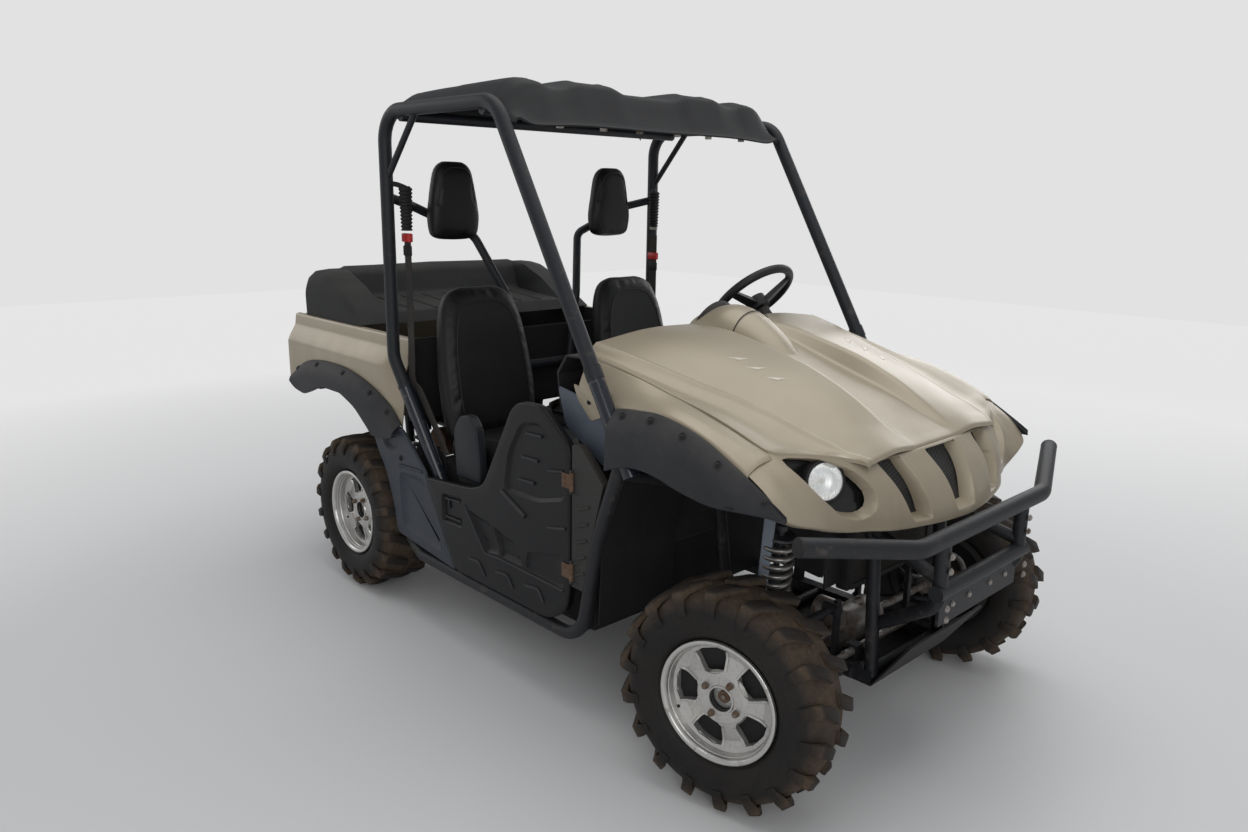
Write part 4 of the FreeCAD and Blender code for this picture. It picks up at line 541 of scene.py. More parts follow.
def sweep(line, radius, sides=8, flat=1.0):
    """A round or flattened bar along a line."""
    line = [Vector(spot) for spot in line]
    rings = []
    side = None
    for number, spot in enumerate(line):
        way = (line[min(number + 1, len(line) - 1)] - line[max(number - 1, 0)]).normalized()
        if side is None:
            side = way.orthogonal().normalized()
        side = (side - way * side.dot(way)).normalized()
        over = way.cross(side)
        rings.append([spot + (side * math.cos(turn) + over * flat * math.sin(turn)) * radius
                      for turn in (math.tau * i / sides for i in range(sides))])
    return hull(rings)


def turned(profile, steps):
    """A round about the Y axis from a closed section of (radius, along)."""
    bm = bmesh.new()
    verts = [bm.verts.new((radius, along, 0)) for radius, along in profile]
    edges = [bm.edges.new(ends) for ends in zip(verts, verts[1:] + verts[:1])]
    bmesh.ops.spin(bm, geom=verts + edges, axis=OUTWARD, cent=(0, 0, 0), angle=math.tau, steps=steps,
                   use_merge=True)
    bmesh.ops.remove_doubles(bm, verts=bm.verts, dist=MERGE)
    bmesh.ops.recalc_face_normals(bm, faces=bm.faces)
    return bm


def slab(corners, inward):
    """A plate from its outline and its thickness."""
    bm = bmesh.new()
    face = bm.faces.new([bm.verts.new(corner) for corner in corners])
    grown = bmesh.ops.extrude_face_region(bm, geom=[face])["geom"]
    verts = [item for item in grown if isinstance(item, bmesh.types.BMVert)]
    bmesh.ops.translate(bm, vec=inward, verts=verts)
    bmesh.ops.recalc_face_normals(bm, faces=bm.faces)
    return bm


def soften(bm, radius, segments=2, sharp=30):
    """Round the edges where faces meet at an angle."""
    bm.normal_update()
    edges = [edge for edge in bm.edges if len(edge.link_faces) == 2
             and edge.calc_face_angle(0) > math.radians(sharp)]
    bmesh.ops.bevel(bm, geom=edges, offset=radius, segments=segments, profile=0.5, affect="EDGES",
                    clamp_overlap=True, material=-1)
    return bm


def block(low, high, round_by=2.0, segments=2):
    """A block with rounded edges."""
    bm = bmesh.new()
    bmesh.ops.create_cube(bm, size=1)
    low, high = Vector(low), Vector(high)
    bmesh.ops.scale(bm, vec=high - low, verts=bm.verts)
    bmesh.ops.translate(bm, vec=(low + high) / 2, verts=bm.verts)
    return soften(bm, round_by, segments)


def board(y, corners, corner_radius, wall, round_by, steps=3, segments=2, sharp=60):
    """A flat plate of the left side from its outline in (x, z); a corner may carry its own rounding."""
    radii = [own[0] if own else corner_radius for x, z, *own in corners]
    outline = eased([(x, y, z) for x, z, *own in corners], radii, steps, closed=True)
    return soften(slab(outline, OUTWARD * -wall), round_by, segments, sharp)


def carve(bm, corners, toward, rim, depth, through_wall=False, lip=1.2):
    """Sink or raise a surface inside a convex outline, seen along one direction."""
    toward = Vector(toward)
    corners = [Vector(corner) for corner in corners]
    corners = [corner - toward * corner.dot(toward) for corner in corners]
    middle = sum(corners, Vector()) / len(corners)
    reach = max((corner - middle).length for corner in corners)

    def near():
        """The faces about the outline that look along the direction."""
        found = []
        for face in bm.faces:
            if face.normal.dot(toward) > 0.12:
                spot = face.calc_center_median()
                aside = (spot - toward * spot.dot(toward) - middle).length
                if aside < reach + math.sqrt(face.calc_area()) * 2:
                    found.append(face)
        return found

    # The surface is cut along each side of the outline
    planes = []
    for start, end in zip(corners, corners[1:] + corners[:1]):
        away = (end - start).cross(toward).normalized()
        if away.dot(middle - start) > 0:
            away = -away
        planes.append((start, away))
        bm.normal_update()
        faces = near()
        geom = list({item for face in faces for item in (face, *face.edges, *face.verts)})
        bmesh.ops.bisect_plane(bm, geom=geom, dist=0.01, plane_co=start, plane_no=away)
    bmesh.ops.dissolve_degenerate(bm, dist=0.4, edges=bm.edges)
    bm.normal_update()
    inside = [face for face in near() if all((face.calc_center_median() - start).dot(away) < 0
                                             for start, away in planes)]
    # The faces inside go in by a narrow lip first, then by the slope of the rim
    sign = 1 if depth > 0 else -1
    gone = 0
    for width, fall in ((lip, lip * sign), (rim, depth - lip * sign)):
        bmesh.ops.inset_region(bm, faces=inside, thickness=0, depth=0, use_even_offset=False,
                               use_boundary=True)
        for vertex in {corner for face in inside for corner in face.verts}:
            sides = [away for start, away in planes if abs((vertex.co - start).dot(away) + gone) < 0.8]
            if sides:
                way = sum(sides, Vector()).normalized()
                vertex.co -= way * (width / max(way.dot(sides[0]), 0.4))
            vertex.co += toward * fall
        gone += width
    if through_wall:
        bmesh.ops.delete(bm, geom=inside, context="FACES")
    return inside


def under(bm, spot, way):
    """Where a line from a spot meets a surface."""
    return BVHTree.FromBMesh(bm).ray_cast(Vector(spot), Vector(way))[0]


def moved(bm, matrix):
    """The shape at another place."""
    bmesh.ops.transform(bm, matrix=matrix, verts=bm.verts)
    return bm


def mirror_copy(bm):
    """The same shape on the vehicle's other side."""
    other = bm.copy()
    bmesh.ops.scale(other, vec=(1, -1, 1), verts=other.verts)
    bmesh.ops.reverse_faces(other, faces=other.faces)
    return other


def mirrored(rows):
    """Rows of points of the other side, in the order that leads on to these."""
    return [[Vector((x, -y, z)) for x, y, z in row] for row in reversed(rows)]


def gathered(*shapes):
    """Several shapes in one."""
    whole = bmesh.new()
    for shape in shapes:
        mesh = bpy.data.meshes.new("part")
        shape.to_mesh(mesh)
        shape.free()
        whole.from_mesh(mesh)
        bpy.data.meshes.remove(mesh)
    return whole


def both(*shapes):
    """Shapes of the left side and their mirror images."""
    return gathered(*[mirror_copy(shape) for shape in shapes], *shapes)


def facing(spot, way):
    """The place that carries the Y axis to a spot and a direction."""
    turn = OUTWARD.rotation_difference(Vector(way)).to_matrix().to_4x4()
    return Matrix.Translation(Vector(spot)) @ turn


def turned_at(spot, way, profile, steps):
    """A round whose axis starts at a spot and runs in a direction."""
    return moved(turned(profile, steps), facing(spot, way))


def bolt(spot, way, radius, tall):
    """A round fastener's domed head on its washer."""
    profile = eased([(0, 0), (1.25 * radius, 0), (1.25 * radius, 0.18 * tall), (radius, 0.22 * tall),
                     (radius, 0.7 * tall), (0.45 * radius, tall), (0, tall)], 0.18 * radius, 2)
    return turned_at(spot, way, profile, 12)


# Hood: rows across, from the windscreen's edge to the nose
# columns: x, trough depth, trough half width, crown height, ridge y and z, edge y and z
HOOD = ((446, 6, 92, 1168, 540, 1140, 582, 1127), (560, 20, 93, 1172, 518, 1118, 573, 1104),
        (665, 32, 94, 1160, 494, 1092, 564, 1080), (785, 42, 94, 1134, 462, 1060, 557, 1050),
        (905, 48, 93, 1104, 427, 1030, 550, 1022), (1005, 40, 93, 1066, 402, 1000, 545, 990),
        (1060, 33, 94, 1040, 392, 982, 543, 970), (1096, 27, 94, 1020, 386, 970, 541, 961),
        (1130, 22, 95, 1000, 381, 960, 514, 959), (1165, 16, 96, 979, 375, 951, 474, 955),
        (1200, 11, 97, 960, 367, 943, 425, 948), (1222, 8, 97, 948, 355, 938, 382, 939),
        (1240, 5, 98, 939, 341, 932, 350, 931), (1252, 4, 98, 932, 332, 926, 340, 925),
        (1256, 4, 98, 922, 330, 916, 338, 915))
rows = []
for x, depth, trough, crown, ridge_y, ridge_z, edge_y, edge_z in HOOD:
    bulge = 0.045 * (ridge_y - trough)
    band = 9 if x < 1180 else 3
    rows.append(across(eased([(x, 0, crown - depth), (x, trough, crown - depth), (x, trough + 34, crown),
                              (x, 0.5 * (trough + ridge_y), 0.5 * (crown + ridge_z) + bulge),
                              (x, ridge_y - 15, ridge_z + band - 1), (x, ridge_y - 9, ridge_z + band),
                              (x, ridge_y + 5, ridge_z - 2),
                              (x, 0.5 * (ridge_y + edge_y), 0.5 * (ridge_z + edge_z) - 1.4 * band),
                              (x, edge_y, edge_z), (x, edge_y - 1, edge_z - 11)],
                             (10, 14, 90, 4, 4, 6, 40, 4), 4)))
hood = sheet(through(rows, 6), UP)
# Louvres: small raised triangles in pale paint, a painted highlight where the louvres catch the light
louvres = []
# columns: how far ahead of a louvre's middle and how far out from it each corner lies
LOUVRE = ((-30, 24), (4, 8), (14, -22))
for x, y in ((775, 272), (840, 272), (908, 268)):
    for side in (-1, 1):
        corners = [under(hood, (x + ahead, side * (y + out), 1400), -UP) for ahead, out in LOUVRE]
        lifted = [corner + Vector((0, 0, lift)) for corner, lift in zip(corners, (1, 4, 1.5))]
        louvres.append(soften(slab(lifted, Vector((0, 0, -8))), 1, 2, 30))
piece("hood_skin", thick(hood, WALL), PAINT, stands_for=("hood_panel",), crease=38)
piece("hood_louvres", gathered(*louvres), HIGHLIGHT_PAINT, crease=34)

# Dome over the gauges, open towards the driver
# columns: x, half width, height
DOME = ((398, 100, 1186), (430, 110, 1204), (478, 118, 1222), (530, 119, 1228), (590, 112, 1214),
        (650, 98, 1184), (706, 82, 1146), (748, 62, 1112), (780, 40, 1086), (792, 22, 1074))
rows = []
for x, wide, tall in DOME:
    base = 1062 if x > 470 else 1096
    fullness = 0.66 + 0.20 * min(max((x - 560) / 200, 0), 1)
    arc = [math.pi * i / 28 for i in range(29)]
    height = tall - base
    rows.append([Vector((x, wide * math.cos(turn), base + height * max(math.sin(turn), 0) ** fullness))
                 for turn in arc])
seam_row = [spot + Vector((6, 0, 1)) for spot in rows[4][2:-2]]
rolled_edge = [spot + Vector((10, 0, -7)) if 0 < i < 28 else spot for i, spot in enumerate(rows[0])]
piece("dome_skin", skin([rolled_edge] + rows, 5, UP), PAINT, stands_for=("instrument_dome",), crease=50)
piece("dome_seam", sweep(seam_row, 1.6, 6), BLACK)
gauge_spot, gauge_way = (424, 0, 1150), Vector((-0.92, 0, 0.39))
GAUGE = [(0, -20), (86, -20), (92, -6), (92, 2), (84, 5), (78, -3), (0, -3)]
GAUGE_RING = [(70, -3), (74, -3), (74, 4), (70, 4)]
housing = [turned_at(gauge_spot, gauge_way, profile, 40) for profile in (GAUGE, GAUGE_RING)]
piece("gauge_housing", gathered(*housing), DASH)
glass = turned_at(gauge_spot, gauge_way, [(0, -2.5), (69, -2.5), (69, -1), (0, 1)], 40)
piece("gauge_glass", glass, GLOSS)

# Fenders between the hood's edge and the flares
# columns: x, y and z under the hood's edge, y and z at the flare
FENDER = ((476, 586, 1108, 624, 1034), (530, 580, 1096, 630, 1018), (582, 574, 1087, 634, 1002),
          (668, 567, 1070, 640, 1006), (752, 561, 1049, 640, 1014), (860, 557, 1022, 640, 1014),
          (976, 553, 988, 640, 984), (1050, 550, 968, 640, 952), (1096, 546, 953, 640, 928),
          (1112, 545, 941, 638, 917))
rows = []
for x, y0, z0, y1, z1 in FENDER:
    lift = 7 if x < 1040 else 1
    rows.append(eased([(x, y0 - 16, z0 - 6), (x, y0 - 4, z0 + lift),
                       (x, 0.42 * y0 + 0.58 * y1, 0.4 * z0 + 0.6 * z1 + 11),
                       (x, y1 + 1, z1), (x, y1 - 3, z1 - 22)], (8, 26, 10), 4))
piece("fender_skins", both(skin(rows, 6, OUTWARD + UP)), PAINT, stands_for=("front_fenders",), crease=38)

# Flares: black arches bolted over the wheels
FLARE_FOOT = 640
BOLT_WAY = Vector((0, 0.72, 0.69))


def flare_reach(x):
    """How far a flare stands out: less ahead of the front wheel."""
    return max(50 - 0.33 * max(x - 1050, 0), 4)


def flare_rows(table):
    """Section lines of a flare, from the panel over its shoulder to the lip."""
    lines = []
    for x, top_z, lip_z in table:
        drop = min(50, 0.45 * (top_z - lip_z) + 4)
        reach = flare_reach(x)
        # columns: distance out from the flare's foot, height, rounding of the corner
        section = ((-4, top_z - 12, None), (2, top_z + 2, 7), (0.52 * reach, top_z - 0.34 * drop, 16),
                   (0.9 * reach, top_z - drop, 22), (reach, lip_z + 3, 3), (reach - 3, lip_z, 3),
                   (0.5 * reach, lip_z + 4, None))
        corners = [(x, FLARE_FOOT + out, z) for out, z, round_by in section]
        lines.append(eased(corners, [round_by for out, z, round_by in section[1:-1]], 3))
    return lines


# columns: x, height where the flare leaves the fender, height of its lip
FRONT_FLARE = ((657, 1003, 834), (700, 1010, 850), (752, 1014, 864), (806, 1017, 866), (860, 1010, 860),
               (920, 998, 846), (976, 981, 837), (1040, 951, 831), (1102, 922, 830), (1172, 884, 829),
               (1206, 864, 828), (1234, 846, 828))
REAR_FLARE = ((-1340, 818, 772), (-1297, 850, 752), (-1250, 868, 744), (-1197, 880, 742), (-1120, 889, 768),
              (-1050, 892, 790), (-970, 892, 798), (-897, 888, 796), (-830, 878, 778), (-762, 864, 752),
              (-690, 844, 706), (-637, 824, 674), (-566, 792, 676), (-496, 734, 690))
for name, table, body, bolts in (("front_flare", FRONT_FLARE, "chassis", (1, 3, 5, 7, 9)),
                                 ("rear_flare", REAR_FLARE, "bed", (1, 4, 7, 10, 12))):
    flare = skin(flare_rows(table), 5, Vector((0, 1, 0.3)))
    heads = []
    for number in bolts:
        x, top_z, lip_z = table[number]
        spot = Vector((x, FLARE_FOOT + 0.48 * flare_reach(x), top_z - 16))
        heads.append(bolt(spot, BOLT_WAY, 5.5, 4))
        heads.append(turned_at(spot, BOLT_WAY, [(7, 0), (10, 0), (11.5, 2), (9, 3), (7, 1.5)], 16))
    piece(f"{name}_skins", both(flare), FLARE, body, (f"{name}s",), 40)
    piece(f"{name}_bolts", both(*heads), BLACK, body)

# Bed sides: stepped rail, bulged waist and the arch
# columns: x, height of the lower edge, how far the waist tucks in
BED_SIDE = ((-1433, 744, 0), (-1337, 800, 0), (-1265, 844, 0), (-1197, 870, 0), (-1120, 882, 0),
            (-1050, 886, 0), (-970, 886, 0), (-897, 882, 0), (-830, 872, 0), (-762, 858, 0), (-637, 816, 2),
            (-566, 786, 20), (-498, 726, 26))
rows = []
for x, low_z, tuck in BED_SIDE:
    rows.append(eased([(x, 574, 1040), (x, 576, 1049), (x, 598, 1047), (x, 604, 1000),
                       (x, 614 - 0.3 * tuck, 984), (x, 630 - 0.9 * tuck, 958), (x, 641 - tuck, 934),
                       (x, 641 - 0.5 * tuck, 0.4 * 934 + 0.6 * low_z), (x, 640, low_z)],
                      (4, 8, 8, 7, 9, 9, 60), 3))
piece("bed_side_skins", both(skin(rows, 5, Vector((0, 1, 0.2)))), PAINT, "bed", ("bed_sides",), 38)

# Nose: rows up the front, from one side to the other, with slots and lamp openings
# columns: y, then x and z of the top edge, the middle and the lip
NOSE = ((0, 1264, 926, 1326, 846, 1372, 746), (80, 1262, 926, 1324, 846, 1366, 747),
        (160, 1258, 925, 1319, 844, 1354, 749), (280, 1246, 925, 1296, 846, 1323, 752),
        (352, 1232, 928, 1272, 852, 1288, 757), (392, 1218, 941, 1258, 862, 1276, 761),
        (430, 1198, 950, 1240, 872, 1265, 766), (490, 1152, 957, 1206, 884, 1260, 782),
        (545, 1100, 955, 1172, 890, 1256, 800), (600, 1104, 938, 1174, 884, 1244, 816),
        (632, 1112, 920, 1172, 876, 1220, 832))
rows = []
for y, top_x, top_z, mid_x, mid_z, lip_x, lip_z in NOSE:
    bow = 10 if y < 400 else 2
    back_z = top_z - 16 if y < 520 else top_z + 4
    rows.append(eased([(top_x - 34, y, back_z), (top_x - 6, y, top_z - 1), (mid_x + bow, y, mid_z + 4),
                       (lip_x, y, lip_z), (lip_x - 20, y, lip_z - 6)], (9, 70, 7), 5))
nose = sheet(through(mirrored(rows[1:]) + rows, 8), AHEAD)
LAMP = ((534, 946), (450, 943), (374, 908), (332, 858), (338, 804), (378, 788), (438, 802), (494, 862))
# columns: middle at the top and at the bottom, half width at the top and at the bottom
SLOTS = ((0, -6, 82, 47), (240, 194, 50, 35), (-240, -194, 50, 35))
for top_y, low_y, top_half, low_half in SLOTS:
    outline = eased([(0, top_y - top_half, 918), (0, top_y + top_half, 918), (0, low_y + low_half, 764),
                     (0, low_y - low_half, 764)], 7, 2, closed=True)
    carve(nose, outline, AHEAD, 7, -44, True, 2)
for side in (-1, 1):
    outline = eased([(0, side * y, z) for y, z in LAMP], 22, 2, closed=True)
    carve(nose, outline, AHEAD, 9, -34, True, 2)
piece("nose_skin", thick(nose, WALL), PAINT, stands_for=("nose_panel",), crease=42)

# Grille: a screen behind the slots, as wide as they are
SCREEN_END = (300, 1242, 926, 1289, 848, 1314, 753)
rows = []
for y, top_x, top_z, mid_x, mid_z, lip_x, lip_z in (*NOSE[:4], SCREEN_END):
    rows.append([Vector((x - 46, y, z)) for x, z in ((top_x - 4, 936), (mid_x + 6, mid_z), (lip_x, 758))])
screen_mesh = skin(mirrored(rows[1:]) + rows, 6, AHEAD, 3)
piece("grille_screen", screen_mesh, SCREEN, stands_for=("grille_mesh",))

# Lamps: gloss black bowl behind each opening, ring, reflector with a painted glow, bulb and fluted glass
lamp_centre, lamp_way = Vector((1200, 440, 884)), Vector((0.84, 0.42, 0.20)).normalized()
bowl_y, bowl_z, bowl_steps = 440, 874, (1.0, 0.8, 0.55)
# columns: y, z and x of the bowl's rim
BOWL = ((546, 942, 1088), (450, 944, 1194), (366, 908, 1230), (322, 860, 1264), (328, 798, 1280),
        (376, 778, 1275), (444, 792, 1258), (502, 858, 1206))
rings = []
for number, share in enumerate(bowl_steps):
    ring = [(x - 31, y * share + bowl_y * (1 - share), z * share + bowl_z * (1 - share)) for y, z, x in BOWL]
    rings.append([spot - Vector((14 * number, 0, 0)) for spot in eased(ring, 20, 3, closed=True)])
piece("lamp_bowls", both(hull(rings)), GLOSS, stands_for=("lamp_bezels",))
reflector = eased([(47, -2), (44, -14), (34, -27), (12, -34), (0, -34)], 8, 3)
ring = [(45, -34), (55, -34), (57, -6), (55, 1), (51, 3), (47, 0)]
quarter = [math.pi / 2 * i / 8 for i in range(9)]
lens = [(48.5 * math.sin(turn), 11 * math.cos(turn)) for turn in quarter]
lens += [(46 * math.sin(turn), 8.5 * math.cos(turn)) for turn in reversed(quarter)]
for name, profile, steps, finish, stood in (
        ("lamp_rings", ring, 48, BLACK, ("headlights",)),
        ("lamp_reflectors", reflector + [(0, -36), (48, -36)], 48, REFLECTOR_WITH_PAINTED_GLOW, ()),
        ("lamp_bulbs", [(0, -33), (7, -33), (8, -16), (5, -10), (0, -9)], 20, BULB, ()),
        ("lamp_lenses", lens, 48, LENS, ())):
    piece(name, both(turned_at(lamp_centre, lamp_way, profile, steps)), finish, stands_for=stood)

# Roof: raised ribs with shallow hollows in them, and a drooping front fascia
# columns: x, height of the edge, of the middle and of the ribs, depth of the hollow in a rib
ROOF_LINE = ((-578, 1806, 1824, 1824, 0), (-570, 1818, 1836, 1836, 0), (-548, 1832, 1866, 1868, 0),
             (-480, 1838, 1884, 1908, 0), (-445, 1838, 1886, 1912, 1), (-420, 1838, 1887, 1914, 8),
             (-320, 1838, 1889, 1918, 9), (-225, 1838, 1890, 1920, 8), (-200, 1838, 1891, 1922, 1),
             (-175, 1838, 1891, 1923, 8), (-70, 1838, 1893, 1925, 9), (40, 1836, 1894, 1927, 8),
             (64, 1834, 1891, 1923, 1), (108, 1828, 1882, 1910, 0), (126, 1812, 1862, 1884, 0),
             (150, 1788, 1820, 1834, 0), (176, 1776, 1780, 1784, 0), (188, 1775, 1772, 1774, 0))
rows = []
for x, edge, middle, rib, hollow in ROOF_LINE:
    rib = middle + 0.72 * (rib - middle)
    # columns: y, height, rounding of the corner
    half = ((0, middle, None), (112, middle, 26), (168, rib, 24), (194, rib, 8), (210, rib - hollow, 8),
            (288, rib - hollow, 8), (304, rib, 8), (330, rib, 24), (386, middle, 26), (432, middle - 2, 22),
            (474, rib - 6, 22), (556, rib - 10, 32), (610, edge + 9, 8), (626, edge - 8, None))
    corners = [(x, y, z) for y, z, round_by in half]
    rows.append(across(eased(corners, [round_by for y, z, round_by in half[1:-1]], 3)))
piece("roof_skin", skin(rows, 4, UP, 5), ROOF, stands_for=("roof_panel",), crease=42)
clips = [block((146, y - 9, 1762), (164, y + 9, 1784), 2) for y in (-430, -250, -90, 90, 250, 430)]
piece("roof_clips", gathered(*clips), STEEL)


# Seats and head rests: closed padded forms that swell a little in a cloth simulation

# Pressure in the simulation, spacing of the skin's points in metres, and its frames
PRESSURE = 3.0
GRID = 0.006
CLOTH_FRAMES = 20


def swollen(bm, most):
    """The form after its skin has swelled like foam under vinyl, no point further than a limit."""
    bmesh.ops.scale(bm, vec=(MM, MM, MM), verts=bm.verts)
    mesh = bpy.data.meshes.new("pad form")
    bm.to_mesh(mesh)
    bm.free()
    scene = bpy.context.scene
    item = bpy.data.objects.new("pad form", mesh)
    scene.collection.objects.link(item)
    grid = item.modifiers.new("grid", "REMESH")
    grid.mode = "VOXEL"
    grid.voxel_size = GRID
    mesh = bpy.data.meshes.new_from_object(item.evaluated_get(bpy.context.evaluated_depsgraph_get()))
    item.modifiers.clear()
    item.data = mesh
    start = [vertex.co.copy() for vertex in mesh.vertices]
    cloth = item.modifiers.new("cloth", "CLOTH")
    cloth.settings.use_pressure = True
    cloth.settings.uniform_pressure_force = PRESSURE
    cloth.settings.effector_weights.gravity = 0
    for number in range(CLOTH_FRAMES):
        scene.frame_set(number + 1)
    swelled = bpy.data.meshes.new_from_object(item.evaluated_get(bpy.context.evaluated_depsgraph_get()))
    bpy.data.objects.remove(item)
    scene.frame_set(1)
    out = bmesh.new()
    out.from_mesh(swelled)
    for vertex, first in zip(out.verts, start):
        way = vertex.co - first
        if way.length > most * MM:
            vertex.co = first + way.normalized() * most * MM
    bmesh.ops.smooth_vert(out, verts=out.verts, factor=0.5, use_axis_x=True, use_axis_y=True,
                          use_axis_z=True)
    bmesh.ops.scale(out, vec=(1 / MM, 1 / MM, 1 / MM), verts=out.verts)
    return out


def pad_ring(middle, wide, deep, sink, bolster, lean, count=44):
    """One level of a pad: a round-cornered ring with a sunk front between raised sides."""
    ring = []
    for number in range(count):
        turn = math.tau * number / count
        over, ahead = math.cos(turn), math.sin(turn)
        over = math.copysign(abs(over) ** 0.62, over)
        ahead = math.copysign(abs(ahead) ** 0.62, ahead)
        push = max(ahead, 0) * (bolster * abs(over) ** 4 - sink * (1 - over ** 2))
        front = ahead * deep / 2 + push
        ring.append(Vector(middle) + Vector((front, over * wide, front * lean)))
    return ring


def pads(name, shape, finish, node):
    """A left pad and its mirror image."""
    for hand, side in (("left", shape), ("right", mirror_copy(shape))):
        pad = piece(f"{name}_{hand}", side, finish, stands_for=(node,), crease=60)


SEAT_Y = 370
# columns: x, height, half width, depth, how far the front sinks, how far the sides rise
SEAT_BACK = ((-312, 688, 168, 60, 0, 4), (-316, 712, 186, 92, 4, 12), (-328, 790, 197, 108, 10, 20),
             (-342, 880, 201, 108, 14, 22), (-360, 980, 196, 102, 14, 20), (-377, 1080, 184, 94, 10, 16),
             (-392, 1150, 168, 84, 6, 12), (-402, 1196, 148, 72, 2, 8), (-409, 1222, 118, 56, 0, 4),
             (-412, 1236, 76, 30, 0, 0))
rows = [pad_ring((x, SEAT_Y, z), wide, deep, sink, bolster, 0.2)
        for x, z, wide, deep, sink, bolster in SEAT_BACK]
seat_back = swollen(hull(through(rows, 4)), 6)
# columns: x, height of the middle, half width, thickness, how far the top sinks, how far the sides rise
SEAT_CUSHION = ((-322, 668, 150, 80, 0, 0), (-300, 672, 190, 104, 4, 4), (-200, 676, 200, 112, 12, 14),
                (-80, 682, 203, 118, 14, 18), (30, 686, 203, 122, 12, 16), (90, 688, 200, 120, 6, 8),
                (124, 684, 188, 104, 0, 0), (142, 680, 150, 64, 0, 0))
rows = []
for x, z, wide, deep, sink, bolster in SEAT_CUSHION:
    ring = pad_ring((0, 0, 0), wide, deep, sink, bolster, 0)
    rows.append([Vector((x, SEAT_Y + spot.y, z + spot.x)) for spot in ring])
seat_cushion = swollen(hull(through(rows, 4)), 5)
BACK_WELT = ((-140, 740), (-150, 860), (-146, 980), (-132, 1090), (-104, 1160), (-50, 1184), (50, 1184),
             (104, 1160), (132, 1090), (146, 980), (150, 860), (140, 740))
CUSHION_WELT = ((-250, -146), (-60, -152), (60, -146), (104, -100), (112, 0), (104, 100), (60, 146),
                (-60, 152), (-250, 146))
back_line = eased([(0, SEAT_Y + y, z) for y, z in BACK_WELT], 40, 4)
cushion_line = eased([(x, SEAT_Y + y, 0) for x, y in CUSHION_WELT], 40, 4)
back_seam = [under(seat_back, spot + Vector((200, 0, 0)), -AHEAD) for spot in back_line]
cushion_seam = [under(seat_cushion, spot + Vector((0, 0, 900)), -UP) for spot in cushion_line]
pads("seat_back", seat_back, VINYL, "seats")
pads("seat_cushion", seat_cushion, VINYL, "seats")
piece("seat_seams", both(sweep(back_seam, 2.4, 6), sweep(cushion_seam, 2.4, 6)), GRIP)

# Head rests: tapered pads, broad below, with a welt at the rim and one inside it
rest_x, rest_y, rest_z = -518, 386, 1537
# columns: height from the middle, half width, depth
REST_LEVELS = ((-140, 62, 26), (-134, 84, 46), (-116, 100, 60), (-60, 108, 70), (0, 101, 70), (60, 90, 66),
               (104, 78, 58), (128, 60, 44), (139, 40, 24))
# columns: height from the middle, distance out from it
REST_RIM = ((-100, -74), (-60, -84), (0, -78), (60, -68), (100, -54), (114, -30), (116, 0), (114, 30),
            (100, 54), (60, 68), (0, 78), (-60, 84), (-100, 74), (-112, 40), (-114, 0), (-112, -40),
            (-100, -74))
rows = []
for up, wide, deep in REST_LEVELS:
    rows.append([Vector((rest_x + 4 + spot.x, rest_y + spot.y, rest_z + up))
                 for spot in pad_ring((0, 0, 0), wide, deep, 0, 0, 0, 36)])
pads("head_rest", swollen(hull(through(rows, 4)), 4), REST, "head_rests")
rim = [(rest_x + 34, rest_y + out, rest_z + up) for up, out in REST_RIM]
inner_rim = [(rest_x + 35.5, rest_y + 0.58 * out, rest_z + 8 + 0.62 * up) for up, out in REST_RIM]
welts = both(sweep(eased(rim, 14, 2), 1.8, 6), sweep(eased(inner_rim, 10, 2), 2.2, 6))
piece("head_rest_welts", welts, GRIP)

# Hip guards: rounded boards at the outer side of each cushion
# columns: x, z and rounding of each corner
GUARD_LINE = ((-190, 606, 10), (-46, 606, 10), (-50, 700, 40), (-70, 802, 20), (-106, 838, 20),
              (-168, 826, 24), (-204, 770, 30))
guard = board(612, GUARD_LINE, 0, 36, 9, segments=3, sharp=50)
piece("hip_guards", both(guard), HIP, crease=40)

# Bench over the bed: rounded moulding whose back wraps round both ends
bench_x, bench_z = -1348.5, 1049
WING = ((0, 0), (-4, 120), (10, 170), (50, 196), (150, 184), (290, 128), (420, 46), (474, 4), (470, 0))
MIDDLE = ((0, 0), (-4, 134), (10, 186), (50, 206), (104, 184), (134, 70), (300, 56), (440, 44), (474, 0))
rows = []
# columns: share of the half width, share of the height, section
for share, tall, shape in ((0.998, 0.74, WING), (0.985, 0.88, WING), (0.95, 0.97, WING), (0.86, 1, WING),
                           (0.77, 1, WING), (0.73, 1, MIDDLE), (0.5, 1, MIDDLE), (0.2, 1.01, MIDDLE),
                           (0, 1.02, MIDDLE)):
    rows.append(eased([(bench_x + along, share * 588, bench_z + tall * up) for along, up in shape],
                      (16, 26, 26, 22, 22, 20, 8), 3))
rows += mirrored(rows[:-1])
piece("bench_moulding", hull(rows), BENCH, "bed", ("bed_bench",), 40)
ribs = []
for y in range(-330, 331, 110):
    line = [(bench_x + along, y, bench_z + up) for along, up in ((138, 70), (300, 57), (436, 46))]
    ribs.append(sweep(eased(line, 30), 5, 8, 0.6))
piece("bench_ribs", gathered(*ribs), BENCH, "bed")


# Wheels: drawn about the Y axis with the outer face towards +Y, then carried to their axles

def wheel_place(body):
    """The place of a wheel that is drawn about the origin."""
    centre, out = WHEELS[body]
    return Matrix.Translation(centre / MM) @ Matrix.Rotation(math.atan2(-out.x, out.y), 4, "Z")


# Lugs in each row of the tread, spokes and nuts
LUGS = 18
SPOKES = 5
NUTS = 4


